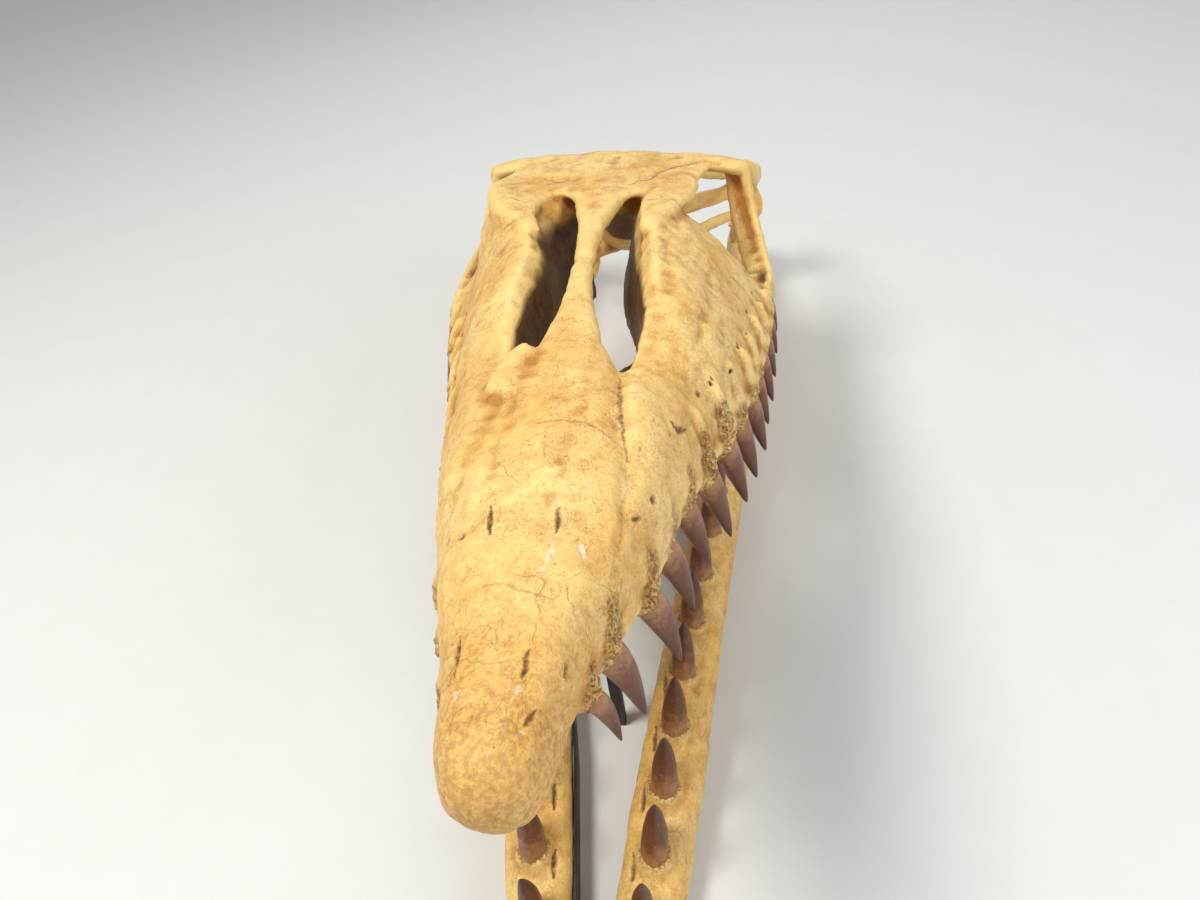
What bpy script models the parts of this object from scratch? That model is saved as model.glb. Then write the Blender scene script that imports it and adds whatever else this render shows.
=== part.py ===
"""Fossil skull of a large marine lizard with its lower jaws, lying on the jaws with the mouth open."""

import math

import bmesh
import bpy
from mathutils import Matrix, Vector

MM = 0.001

# Driving dimensions of the skull, in millimetres and degrees; it is 1300 long from snout tip to quadrates
GAPE = 18.9                    # angle between the upper and the lower tooth row
JAW_REST_TILT = 4.6            # slope of the lower tooth row when the jaw lies on its lower edge
JAW_YAW = -0.6                 # the lower jaws lie this much out of line
JAW_JOINT = (0.0, 1251.0, -18.0)   # in the cranium's frame: x to the left, y backwards, z up
CRANIUM_PITCH = GAPE - JAW_REST_TILT
FIT_GAP = 0.3                  # clearance between pieces that touch
TWIST = 3.4                    # the crushed middle of the cranium is turned about its length
TWIST_LEVEL = 120.0            # height of the line that the twist turns about
WIDE_NARIS = 40.0              # the right nostril is wider than the left one by this much
PINCHED_MARGIN = 17.0          # the right tooth row is pressed in
BENT_BAR = 8.0                 # the bar between the nares is pushed to the right
DRAGGED_ORBIT = 30.0           # the front edge of the right eye socket is dragged back
WIDE_BROW = 42.0               # and the brow before it is pushed out
PRESSED_CORNER = 7.0           # the right outer corner behind the eye socket is pressed in
FLOOR_CUT = 1.6                # depth of the flats that the lower jaws rest on

# Mesh fineness
CRANIUM_VOXEL = 6.0
JAW_VOXEL = 6.0
QUADRATE_VOXEL = 4.0
CRANIUM_TRIANGLES = 3630
JAW_TRIANGLES = 780
QUADRATE_TRIANGLES = 200
FACE_TRIES = 40                # face counts tried until the reduced skin nowhere touches itself
FACE_STEP = 6

# Midline forms of the cranium: y backwards, half width, top, bottom
SNOUT = [
    (-4, 5, 36, 20), (0, 16, 46, 8), (9, 25, 54, -1), (24, 30, 58, -5), (46, 33, 62, -7),
    (68, 37, 66, -7), (102, 46, 73, -6), (136, 56, 79, -4), (170, 63, 86, 0), (205, 68, 93, 4),
    (250, 68, 101, 10), (300, 62, 109, 26), (350, 50, 115, 52), (400, 33, 119, 80),
]
NARIAL_BAR = [
    (350, 44, 115, 66), (400, 31, 121, 78), (445, 20, 128, 96), (500, 14, 134, 108),
    (560, 11, 141, 118), (620, 10, 148, 126), (680, 11, 156, 134), (730, 19, 164, 144), (780, 30, 171, 152),
]
FRONTAL = [
    (742, 20, 165, 153), (771, 50, 169, 155), (800, 90, 172, 153), (835, 108, 176, 154),
    (880, 122, 180, 158), (920, 120, 181, 158), (955, 84, 178, 152), (990, 44, 172, 146),
]
PARIETAL = [(940, 64, 177, 146), (975, 44, 173, 132), (1015, 34, 166, 112), (1055, 34, 158, 100), (1085, 36, 149, 92)]
BRAINCASE = [
    (955, 22, 152, 116), (1000, 38, 150, 44), (1060, 50, 142, 12), (1120, 54, 128, 2),
    (1165, 48, 104, 10), (1195, 30, 84, 26),
]
CONDYLE = [(1175, 20, 72, 26), (1205, 24, 74, 24), (1226, 18, 68, 32), (1236, 7, 58, 42)]
ORBIT_WALL_FRONT = [(794, 46, 164, 124), (806, 46, 164, 124)]

# Side plates: top edge x, y, z, bottom edge x, y, z, thickness, outward bulge
MAXILLA = [
    (42, 160, 62, 52, 150, 6, 16, 4), (50, 235, 84, 72, 222, 7, 22, 9), (50, 320, 102, 90, 300, 7, 26, 13),
    (52, 400, 100, 114, 385, 8, 24, 15), (64, 480, 120, 138, 455, 8, 22, 16), (62, 560, 138, 158, 530, 9, 20, 16),
    (56, 640, 150, 175, 618, 13, 18, 15), (64, 710, 158, 189, 696, 23, 18, 9), (94, 766, 130, 194, 746, 30, 16, 0),
    (128, 786, 73, 196, 786, 34, 14, -4), (168, 800, 52, 198, 832, 40, 12, 0),
]
NASAL_WALL = [
    (56, 420, 104, 62, 420, 40, 9, 0), (60, 490, 118, 56, 490, 50, 10, 0), (56, 580, 133, 40, 580, 46, 12, 0),
    (52, 660, 145, 28, 660, 38, 12, 0), (46, 730, 151, 20, 730, 28, 12, 0), (40, 785, 154, 16, 785, 22, 11, 0),
]
ORBIT_WALL = [(30, 788, 150, 24, 778, 30, 10, 0), (96, 792, 130, 92, 780, 22, 10, 0), (138, 786, 64, 180, 772, 32, 12, 0)]

# Bars of bone on each side: x, y, z, half width, half height
MARGIN = [
    (50, 150, 10, 9, 8), (64, 198, 11, 10, 8), (89, 305, 13, 10, 8), (122, 411, 14, 10, 8), (152, 516, 14, 10, 8),
    (173, 618, 18, 10, 8), (188, 718, 27, 10, 8), (196, 800, 35, 9, 9),
]
PREFRONTAL = [(54, 640, 148, 10, 9), (62, 700, 156, 22, 10), (72, 755, 158, 28, 11), (82, 805, 160, 24, 10), (92, 846, 164, 16, 9)]
POSTORBITAL = [(84, 905, 172, 30, 10), (132, 906, 168, 26, 10), (156, 904, 164, 19, 10), (168, 902, 158, 12, 10)]
JUGAL = [
    (164, 906, 160, 16, 8), (171, 904, 132, 14, 7), (181, 892, 96, 14, 7), (190, 866, 64, 15, 7),
    (194, 826, 48, 15, 7), (193, 776, 41, 14, 7), (188, 730, 33, 11, 7), (182, 700, 26, 7, 5),
]
SQUAMOSAL = [(168, 912, 158, 10, 14), (180, 990, 138, 9, 13), (189, 1090, 112, 9, 14), (193, 1180, 94, 11, 16), (190, 1236, 82, 13, 14)]
PARIETAL_RAMUS = [(16, 1060, 142, 18, 16), (64, 1120, 122, 13, 13), (122, 1184, 100, 10, 13), (176, 1228, 84, 11, 12)]
PAROCCIPITAL = [(34, 1140, 58, 22, 22), (84, 1178, 52, 12, 16), (132, 1208, 54, 9, 14), (180, 1234, 64, 10, 14)]
VOMER = [(12, 250, 14, 10, 12), (13, 340, 4, 10, 9), (14, 430, 2, 8, 8), (18, 520, 4, 7, 7), (30, 590, 8, 7, 6)]
PALATINE = [(26, 570, 6, 7, 6), (60, 625, 10, 22, 6), (92, 690, 14, 40, 6), (92, 760, 16, 40, 6), (78, 815, 14, 26, 6)]
PTERYGOID = [
    (72, 780, 14, 24, 7), (68, 850, 6, 26, 8), (62, 940, 0, 20, 9), (58, 1020, 2, 17, 9), (70, 1085, 8, 15, 9),
    (104, 1150, 16, 10, 10), (142, 1204, 18, 8, 10), (168, 1238, 14, 7, 8),
]
JUGAL_FLANGE = [
    (150, 914, 160, 12, 6), (156, 910, 122, 13, 6), (164, 896, 86, 13, 6), (172, 868, 60, 12, 6), (178, 826, 48, 10, 6),
]
ECTOPTERYGOID = [(78, 905, 4, 16, 7), (130, 888, 12, 10, 8), (184, 838, 28, 10, 9)]
EPIPTERYGOID = [(54, 1016, 8, 6, 6), (46, 1018, 60, 5, 5), (38, 1014, 120, 6, 6)]
BASIPTERYGOID = [(26, 1086, 20, 16, 16), (48, 1066, 12, 13, 12)]
# Front corner of the right naris only
NARIS_SILL = [(48, 322, 104, 14, 9), (44, 356, 110, 12, 8), (34, 388, 117, 8, 7)]

# Teeth
CROWN_SIDES = 6
PEDICEL_SHARE = 0.07           # share of a tooth's length that is rough bone below the crown
PEDICEL_RADII = (9.5, 12.5, 15.8, 15.2)  # up the jaw's face, below it, at the jaw's edge and at the crown, for a full tooth
UPPER_TOOTH_LEAN = (22, 9, -66)
# Where a tooth's root column starts and bends, up the jaw's face from its root
ROOT_COLUMN = [(-6, 6, 50), (-1, 3, 24), (0, 0, 0)]
# Upper tooth roots: name, x, y, z, size against a full maxillary tooth
UPPER_TEETH = [
    ("premaxillary_1", 43, 93, 11, 0.62), ("premaxillary_2", 46, 131, 16, 0.98),
    ("maxillary_01", 67, 195, 6, 1.0), ("maxillary_02", 75, 250, 13, 1.06), ("maxillary_03", 89, 304, 15, 1.0),
    ("maxillary_04", 108, 356, 12, 1.08), ("maxillary_05", 126, 412, 13, 1.06), ("maxillary_06", 139, 464, 12, 1.08),
    ("maxillary_07", 154, 516, 11, 1.0), ("maxillary_08", 163, 568, 12, 0.92), ("maxillary_09", 173, 618, 15, 0.88),
    ("maxillary_10", 181, 666, 20, 0.8), ("maxillary_11", 188, 712, 25, 0.7), ("maxillary_12", 193, 756, 30, 0.58),
]
LOWER_TOOTH_COUNT = 12
LOWER_TOOTH_FIRST = 1171
LOWER_TOOTH_PITCH = 64
LOWER_TOOTH_LEAN = (5, 22, 76)
CROWN_RADIUS = 13.0
LOWER_CROWN_RADIUS = 15.0
CROWN_PROFILE = [(-0.10, 0.96), (0.48, 0.80), (1.0, 0.08)]   # share of the length, share of the radius
CROWN_HOOK = 0.10
CROWN_FLATNESS = 0.88
LOWER_PEDICEL_SHARE = 0.15
LOWER_PEDICEL_RADII = (19, 18.5, 17.8)
PTERYGOID_TEETH = 8
PTERYGOID_TOOTH_FIRST = (70, 820, 2)
PTERYGOID_TOOTH_STEP = (-1.4, 22, -0.6)
PTERYGOID_TOOTH = [(0, 0, 0, 8, 8), (1, 4, -16, 7, 7), (1, 8, -24, 5, 5)]   # from its root

# Lower jaw, in its own frame: m forwards from the joint, middle x, half width, top, bottom
JAW = [
    (-112, 176, 10, -34, -58), (-84, 176, 17, -20, -76), (-40, 174, 24, -8, -94), (0, 172, 27, -12, -104),
    (50, 170, 24, 6, -115), (120, 168, 22, 14, -123), (200, 165, 22, 20, -125.5), (290, 160, 23, 24, -118.7),
    (380, 153, 24, 34, -111.4), (445, 145, 25, 34, -106.2), (500, 138, 27, 10, -101.7), (600, 122, 29, 1, -93.7),
    (750, 98, 32, 0, -81.6), (915, 74, 35, 0, -68.3), (1043, 58, 34, 0, -58), (1120, 46, 29, -2, -52),
    (1180, 34, 22, -6, -47), (1220, 24, 15, -12, -43), (1238, 18, 8, -20, -36),
]
GLENOID_LIP = [(-26, 172, -6, 26, 6), (-34, 172, 2, 20, 6)]

# Quadrate: x, y, z, half width, half height
QUADRATE_SHAFT = [
    (189, 1238, 77, 15, 12), (186, 1241, 60, 14, 12), (183, 1247, 36, 11, 11), (177, 1252, 6, 12, 10),
    (172, 1252, -16, 19, 12), (172, 1252, -37, 18, 11),
]
QUADRATE_HOOK = [(186, 1244, 58, 13, 10), (182, 1270, 54, 12, 9), (178, 1286, 34, 10, 8), (176, 1286, 12, 7, 6)]
QUADRATE_EAR = [(192, 1238, 52, 10, 4), (200, 1240, 26, 12, 4), (190, 1246, 2, 8, 4)]

# Steel support: flat straps along the inner sides of the jaws and a post under the palate
STRAP_THICKNESS = 3.0
STRAP_HEIGHTS = {"left": 10.0, "right": 24.0}
STRAP_SEATS = {"left": 0.94, "right": 1.0}    # share of the jaw's half width where a strap lies
STRAP_OFFSET = 1.8
STRAP_LEVELS = {"left": 0.84, "right": 0.62}  # share of the jaw's depth where a strap's middle lies
STRAP_RUN = (300, 1110)
POST_WIDTH = 12.0
POST_TOP = (0.0, 360.0)        # sideways and backwards place of the post's head in the cranium's frame
SADDLE = (50.0, 34.0, 5.0)
PALATE_LEVEL = -6.5

SIDES = {"left": 1, "right": -1}


def catmull(rows, steps):
    """Smooth rows of numbers between the given ones."""
    rows = [tuple(float(v) for v in row) for row in rows]
    out = []
    for i in range(len(rows) - 1):
        before = rows[max(i - 1, 0)]
        after = rows[min(i + 2, len(rows) - 1)]
        for k in range(steps):
            t = k / steps
            out.append(tuple(
                0.5 * (2 * b + (c - a) * t + (2 * a - 5 * b + 4 * c - d) * t ** 2 + (3 * b - a - 3 * c + d) * t ** 3)
                for a, b, c, d in zip(before, rows[i], rows[i + 1], after)))
    out.append(rows[-1])
    return out


def oval(count, power):
    """Points of a rounded box between a circle (power 2) and a square."""
    points = []
    for k in range(count):
        angle = 2 * math.pi * k / count
        c, s = math.cos(angle), math.sin(angle)
        points.append((math.copysign(abs(c) ** (2 / power), c), math.copysign(abs(s) ** (2 / power), s)))
    return points


def skin(bm, rings):
    """One closed skin through rings of points in millimetres."""
    count = len(rings[0])
    loop = bmesh.ops.create_circle(bm, segments=count, radius=MM)["verts"]
    for vert, point in zip(loop, rings[0]):
        vert.co = Vector(point) * MM
    bmesh.ops.contextual_create(bm, geom=loop)
    for ring in rings[1:]:
        edges = [bm.edges.get((loop[i], loop[(i + 1) % count])) for i in range(count)]
        made = bmesh.ops.extrude_edge_only(bm, edges=edges)["geom"]
        fresh = {item for item in made if isinstance(item, bmesh.types.BMVert)}
        loop = [next(e.other_vert(v) for e in v.link_edges if e.other_vert(v) in fresh) for v in loop]
        for vert, point in zip(loop, ring):
            vert.co = Vector(point) * MM
    bmesh.ops.contextual_create(bm, geom=loop)


def bar(bm, rows, side=1, count=14, steps=3, up=(0, 0, 1), power=2.2):
    """A bar of bone along a smooth line; rows are x, y, z, half width, half height."""
    rows = catmull(rows, steps)
    rings = []
    for i, (x, y, z, half_width, half_height) in enumerate(rows):
        before, after = rows[max(i - 1, 0)], rows[min(i + 1, len(rows) - 1)]
        along = (Vector(after[:3]) - Vector(before[:3])).normalized()
        across = along.cross(Vector(up)).normalized()
        upward = across.cross(along)
        centre = Vector((x, y, z))
        ring = [centre + across * (px * half_width) + upward * (py * half_height) for px, py in oval(count, power)]
        rings.append([(p.x * side, p.y, p.z) for p in ring])
    skin(bm, rings)


def midline(bm, rows, count=22, steps=3, power=2.4):
    """A form that is cut in two by the middle plane; rows are y, half width, top, bottom."""
    rings = []
    for y, half_width, top, bottom in catmull(rows, steps):
        middle, half_height = (top + bottom) / 2, (top - bottom) / 2
        rings.append([(px * half_width, y, middle + py * half_height) for px, py in oval(count, power)])
    skin(bm, rings)


def plate(bm, rows, side=1, count=18, steps=3, power=2.6):
    """A curved side plate; rows are top edge, bottom edge, thickness, bulge."""
    rows = catmull(rows, steps)
    middles = [(Vector(row[0:3]) + Vector(row[3:6])) / 2 for row in rows]
    rings = []
    for i, row in enumerate(rows):
        half = (Vector(row[0:3]) - Vector(row[3:6])) / 2
        along = (middles[min(i + 1, len(rows) - 1)] - middles[max(i - 1, 0)]).normalized()
        outward = half.cross(along).normalized()
        if outward.x < 0:
            outward.negate()
        thickness, bulge = row[6], row[7]
        ring = [middles[i] + half * px + outward * (py * thickness / 2 + bulge * (1 - px * px))
                for px, py in oval(count, power)]
        rings.append([(p.x * side, p.y, p.z) for p in ring])
    skin(bm, rings)


def lower_row_x(m):
    """Sideways place of the lower tooth row at m."""
    rows = catmull(JAW, 8)
    near = min(rows, key=lambda row: abs(row[0] - m))
    return near[1]


def material(name, colour, roughness, metallic=0.0):
    made = bpy.data.materials.new(name)
    made.use_nodes = True
    shader = made.node_tree.nodes["Principled BSDF"]
    shader.inputs["Base Color"].default_value = (*colour, 1.0)
    shader.inputs["Roughness"].default_value = roughness
    shader.inputs["Metallic"].default_value = metallic
    return made


def piece(name, bm, stuff, parent):
    bmesh.ops.recalc_face_normals(bm, faces=bm.faces[:])
    mesh = bpy.data.meshes.new(name)
    bm.to_mesh(mesh)
    bm.free()
    mesh.materials.append(stuff)
    made = bpy.data.objects.new(name, mesh)
    bpy.context.collection.objects.link(made)
    made.parent = parent
    return made


def finished(made):
    """The piece with its modifiers worked out."""
    bpy.context.view_layer.update()
    return made.evaluated_get(bpy.context.evaluated_depsgraph_get())


def pinched(mesh):
    """True where more or fewer than two faces meet at an edge."""
    uses = {}
    for face in mesh.polygons:
        for key in face.edge_keys:
            uses[key] = uses.get(key, 0) + 1
    return any(count != 2 for count in uses.values())


def fuse(made, voxel, triangles):
    """Grow the overlapping forms together into one smooth body of few faces."""
    remesh = made.modifiers.new("grown_together", "REMESH")
    remesh.mode = "VOXEL"
    remesh.voxel_size = voxel * MM
    remesh.use_smooth_shade = True
    smooth = made.modifiers.new("worn", "SMOOTH")
    smooth.factor = 0.5
    smooth.iterations = 4
    grown = bpy.data.meshes.new_from_object(finished(made))
    made.modifiers.clear()
    made.data = grown
    count = sum(len(face.vertices) - 2 for face in grown.polygons)
    thin = made.modifiers.new("few_faces", "DECIMATE")
    thin.use_collapse_triangulate = True
    for step in range(FACE_TRIES):
        thin.ratio = (triangles - FACE_STEP * step) / count
        if not pinched(finished(made).data):
            return
    raise RuntimeError(made.name + " touches itself at every face count tried")


def empty(name, location=(0, 0, 0), rotation=(0, 0, 0), parent=None):
    made = bpy.data.objects.new(name, None)
    made.location = Vector(location) * MM
    made.rotation_euler = [math.radians(angle) for angle in rotation]
    made.parent = parent
    bpy.context.collection.objects.link(made)
    return made


def grown_copy(source):
    """A hidden copy of a piece, grown by the fit gap, that cuts the socket the piece sits in."""
    mesh = bpy.data.meshes.new_from_object(finished(source))
    made = bpy.data.objects.new(source.name + "_grown", mesh)
    bpy.context.collection.objects.link(made)
    made.parent = source.parent
    swell = made.modifiers.new("fit_gap", "DISPLACE")
    swell.strength = FIT_GAP * MM
    swell.mid_level = 0.0
    hide(made)
    return made


def hide(made):
    made.hide_render = True
    made.display_type = "WIRE"


def trim(made, cutter):
    cut = made.modifiers.new("trimmed_by_" + cutter.name, "BOOLEAN")
    cut.operation = "DIFFERENCE"
    cut.solver = "EXACT"
    cut.object = cutter


def ease(value, start, end):
    """0 before start, 1 after end, and smooth between."""
    t = min(max((value - start) / (end - start), 0.0), 1.0)
    return t * t * (3 - 2 * t)


def crushed(point):
    """Where a point of the even skull lies after the crushing in the ground, in millimetres."""
    x, y, z = point
    x -= BENT_BAR * math.exp(-((y - 590) / 130) ** 2) * math.exp(-(x / 30) ** 2) * ease(z, 90, 120)
    if x < 0:
        x -= WIDE_NARIS * math.exp(-((y - 705) / 75) ** 2) * math.exp(-((x + 62) / 44) ** 2)
        x += PINCHED_MARGIN * math.exp(-((y - 500) / 170) ** 2) * ease(-x, 80, 150) * (1 - ease(z, 60, 120))
        x += PRESSED_CORNER * math.exp(-((y - 900) / 60) ** 2) * ease(-x, 90, 160)
        x -= WIDE_BROW * math.exp(-((y - 785) / 75) ** 2) * ease(-x, 60, 105) * ease(z, 85, 120)
        y += DRAGGED_ORBIT * math.exp(-((y - 790) / 50) ** 2) * ease(-x, 70, 120)
    angle = math.radians(TWIST) * ease(y, 200, 750) * (1 - ease(y, 980, 1220))
    lift = z - TWIST_LEVEL
    return Vector((
        x * math.cos(angle) + lift * math.sin(angle), y,
        TWIST_LEVEL - x * math.sin(angle) + lift * math.cos(angle)))


def crush(bm):
    for vert in bm.verts:
        vert.co = crushed(vert.co / MM) * MM


def make_cranium(bone, parent):
    bm = bmesh.new()
    for rows in (SNOUT, NARIAL_BAR, FRONTAL, PARIETAL, BRAINCASE, CONDYLE, ORBIT_WALL_FRONT):
        midline(bm, rows)
    for side in SIDES.values():
        for rows in (MAXILLA, NASAL_WALL, ORBIT_WALL):
            plate(bm, rows, side)
        for rows in (MARGIN, PREFRONTAL, POSTORBITAL, SQUAMOSAL, PARIETAL_RAMUS, PAROCCIPITAL, VOMER, PALATINE,
                     PTERYGOID, ECTOPTERYGOID):
            bar(bm, rows, side)
        bar(bm, JUGAL, side, up=(1, 0, 0))
        bar(bm, JUGAL_FLANGE, side, up=(0, 1, 0))
        bar(bm, EPIPTERYGOID, side, up=(0, 1, 0), count=8)
        bar(bm, BASIPTERYGOID, side)
        for name, x, y, z, size in UPPER_TEETH:
            lean = Vector(UPPER_TOOTH_LEAN) * size * PEDICEL_SHARE
            start = Vector((x, y, z))
            places = [start + Vector(step) * size for step in ROOT_COLUMN] + [start + lean]
            rows = [(*place, radius * size, radius * size) for place, radius in zip(places, PEDICEL_RADII)]
            bar(bm, rows, side, up=(0, 1, 0), count=10, steps=2)
        for k in range(PTERYGOID_TEETH):
            root = Vector(PTERYGOID_TOOTH_FIRST) + Vector(PTERYGOID_TOOTH_STEP) * k
            rows = [(root.x + x, root.y + y, root.z + z, w, h) for x, y, z, w, h in PTERYGOID_TOOTH]
            bar(bm, rows, side, up=(0, 1, 0), count=8, steps=2)
    bar(bm, NARIS_SILL, SIDES["right"])
    crush(bm)
    made = piece("cranium", bm, bone, parent)
    fuse(made, CRANIUM_VOXEL, CRANIUM_TRIANGLES)
    return made


def make_jaw(name, side, bone, parent):
    bm = bmesh.new()
    rings = []
    for m, x, half_width, top, bottom in catmull(JAW, 3):
        middle, half_height = (top + bottom) / 2, (top - bottom) / 2
        rings.append([(side * (x + px * half_width), -m, middle + py * half_height) for px, py in oval(16, 2.4)])
    skin(bm, rings)
    bar(bm, [(x, -m, z, w, h) for m, x, z, w, h in GLENOID_LIP], side)
    for k in range(LOWER_TOOTH_COUNT):
        start, foot, _ = lower_tooth(k, 1)
        places = (start + (start - foot) * 0.8, start, foot)
        rows = [(*place, radius * lower_size(k), radius * lower_size(k))
                for place, radius in zip(places, LOWER_PEDICEL_RADII)]
        bar(bm, rows, side, up=(0, 1, 0), count=10, steps=2)
    made = piece(name, bm, bone, parent)
    fuse(made, JAW_VOXEL, JAW_TRIANGLES)
    return made


def lower_size(index):
    """Size of a lower tooth against a full one; the first and the last few are smaller."""
    return min(0.82 + 0.10 * index, 1.0, 1.0 - 0.09 * (index - 8))


def lower_tooth(index, side):
    """Root, crown foot and tip of a lower tooth, counted from the front."""
    m = LOWER_TOOTH_FIRST - LOWER_TOOTH_PITCH * index
    start = Vector((lower_row_x(m) * side, -m, -4))
    lean = Vector((LOWER_TOOTH_LEAN[0] * side, LOWER_TOOTH_LEAN[1], LOWER_TOOTH_LEAN[2])) * lower_size(index)
    return start, start + lean * LOWER_PEDICEL_SHARE, start + lean


def crown_skin(bm, foot, tip, radius, grown=0.0):
    """A pointed, gently hooked crown from its foot in the bone to its tip, in millimetres."""
    along = tip - foot
    across = along.cross(Vector((0, 1, 0))).normalized()
    front = across.cross(along).normalized()
    rings = []
    for share, width in CROWN_PROFILE:
        hook = CROWN_HOOK * along.length * math.sin(math.pi * max(share, 0))
        centre = foot + along * share + front * hook
        if share < 0:
            centre -= along.normalized() * grown
        rings.append([centre + (across * px * CROWN_FLATNESS + front * py) * (radius * width + grown)
                      for px, py in oval(CROWN_SIDES, 2)])
    skin(bm, rings)


def upper_crowns(side):
    """Name, foot, tip and radius of the crowns of one side of the cranium."""
    crowns = []
    for name, x, y, z, size in UPPER_TEETH:
        start = Vector((x * side, y, z))
        lean = Vector((UPPER_TOOTH_LEAN[0] * side, UPPER_TOOTH_LEAN[1], UPPER_TOOTH_LEAN[2])) * size
        foot, tip = crushed(start + lean * PEDICEL_SHARE), crushed(start + lean)
        crowns.append((name, foot, tip, CROWN_RADIUS * size))
    return crowns


def lower_crowns(side):
    """Name, foot, tip and radius of the crowns of one lower jaw."""
    crowns = []
    for k in range(LOWER_TOOTH_COUNT):
        start, foot, tip = lower_tooth(k, side)
        crowns.append(("dentary_%02d" % (k + 1), foot, tip, LOWER_CROWN_RADIUS * lower_size(k)))
    return crowns


def make_crowns(crowns, word, enamel, bone_piece):
    """The crowns of one row, and the sockets that they sit in."""
    sockets = bmesh.new()
    for name, foot, tip, radius in crowns:
        bm = bmesh.new()
        crown_skin(bm, foot, tip, radius)
        piece("crown_" + name + "_" + word, bm, enamel, bone_piece.parent)
        crown_skin(sockets, foot, tip, radius, FIT_GAP)
    cutter = piece("sockets_" + bone_piece.name + "_" + word, sockets, enamel, bone_piece.parent)
    hide(cutter)
    trim(bone_piece, cutter)


def make_quadrate(name, side, bone, parent):
    bm = bmesh.new()
    for rows in (QUADRATE_SHAFT, QUADRATE_HOOK, QUADRATE_EAR):
        bar(bm, rows, side, up=(0, 1, 0), count=12)
    made = piece(name, bm, bone, parent)
    fuse(made, QUADRATE_VOXEL, QUADRATE_TRIANGLES)
    return made


def make_strap(word, steel, parent):
    side, half_height = SIDES[word], STRAP_HEIGHTS[word] / 2
    rings = []
    steps = 9
    rows = catmull(JAW, 8)
    for k in range(steps + 1):
        m = STRAP_RUN[0] + (STRAP_RUN[1] - STRAP_RUN[0]) * k / steps
        row = min(rows, key=lambda r: abs(r[0] - m))
        inner = row[1] - row[2] * STRAP_SEATS[word] - STRAP_OFFSET
        middle = row[3] + (row[4] - row[3]) * STRAP_LEVELS[word]
        rings.append([(side * (inner + dx), -m, middle + dz) for dx, dz in (
            (0, half_height), (-STRAP_THICKNESS, half_height), (-STRAP_THICKNESS, -half_height), (0, -half_height))])
    bm = bmesh.new()
    skin(bm, rings)
    return piece("support_strap_" + word, bm, steel, parent)


def make_post(steel, parent, floor_level):
    """The saddle plate under the palate, with the upright post drawn down from it to the floor."""
    tilt = Matrix.Rotation(math.radians(-CRANIUM_PITCH), 4, "X")
    centre = tilt @ Vector((*POST_TOP, PALATE_LEVEL - SADDLE[2] / 2)) * MM
    bm = bmesh.new()
    place = Matrix.Translation(centre) @ tilt @ Matrix.Diagonal((*SADDLE, 1000.0)) * MM
    bmesh.ops.create_cube(bm, size=1.0, matrix=place)
    bm.normal_update()
    underside = min(bm.faces, key=lambda face: face.normal.z)
    inner = bmesh.ops.inset_individual(bm, faces=[underside], thickness=2 * MM)
    middle = underside.calc_center_median()
    half = POST_WIDTH / 2 * MM
    for vert in underside.verts:
        side_x = math.copysign(half, vert.co.x - middle.x)
        side_y = math.copysign(half, vert.co.y - middle.y)
        vert.co = middle + Vector((side_x, side_y, -side_y * math.tan(math.radians(CRANIUM_PITCH))))
    grown = bmesh.ops.extrude_face_region(bm, geom=[underside])["geom"]
    bmesh.ops.delete(bm, geom=[underside], context="FACES_ONLY")
    for vert in (item for item in grown if isinstance(item, bmesh.types.BMVert)):
        vert.co.z = floor_level
    return piece("support_post", bm, steel, parent)


def world_box():
    """Lowest and highest corners of all the pieces made so far."""
    points = []
    for made in bpy.data.objects:
        if made.type == "MESH" and not made.hide_render:
            points += [made.matrix_world @ vert.co for vert in finished(made).data.vertices]
    low = Vector([min(p[i] for p in points) for i in range(3)])
    high = Vector([max(p[i] for p in points) for i in range(3)])
    return low, high


def lay_down(stand, jaws):
    """Move the skull so that it rests on flats under the lower jaws, over the middle of its length."""
    low, high = world_box()
    floor_level = low.z + FLOOR_CUT * MM
    stand.location = (-(low.x + high.x) / 2, -(low.y + high.y) / 2, -floor_level)
    bm = bmesh.new()
    bmesh.ops.create_cube(bm, size=1.0, matrix=Matrix.Translation((0, 0, -0.5)) @ Matrix.Diagonal((2, 3, 1, 1)))
    mesh = bpy.data.meshes.new("floor_cutter")
    bm.to_mesh(mesh)
    bm.free()
    floor = bpy.data.objects.new("floor_cutter", mesh)
    bpy.context.collection.objects.link(floor)
    hide(floor)
    for jaw in jaws:
        trim(jaw, floor)
    return floor_level


def main():
    for old in list(bpy.data.objects):
        bpy.data.objects.remove(old)
    bone = material("fossil_bone", (0.78, 0.52, 0.22), 0.6)
    enamel = material("tooth_enamel", (0.20, 0.09, 0.06), 0.35)
    steel = material("black_steel", (0.01, 0.01, 0.012), 0.5, 0.4)

    stand = empty("stand")
    skull = empty("skull_frame", rotation=(-CRANIUM_PITCH, 0, 0), parent=stand)
    jaws = empty("jaw_frame", JAW_JOINT, (GAPE, 0, JAW_YAW), parent=skull)

    cranium = make_cranium(bone, skull)
    lower_jaws = []
    for word, side in SIDES.items():
        jaw = make_jaw("mandible_" + word, side, bone, jaws)
        lower_jaws.append(jaw)
        quadrate = make_quadrate("quadrate_" + word, side, bone, skull)
        grown = grown_copy(quadrate)
        trim(cranium, grown)
        trim(jaw, grown)
        make_strap(word, steel, jaws)
        make_crowns(upper_crowns(side), word, enamel, cranium)
        make_crowns(lower_crowns(side), word, enamel, jaw)
    floor_level = lay_down(stand, lower_jaws)
    make_post(steel, stand, floor_level)


main()
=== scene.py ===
"""A fossil skull of a large marine lizard, lying on its lower jaws with the mouth open, for a showroom view."""

import math
from functools import reduce

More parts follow.
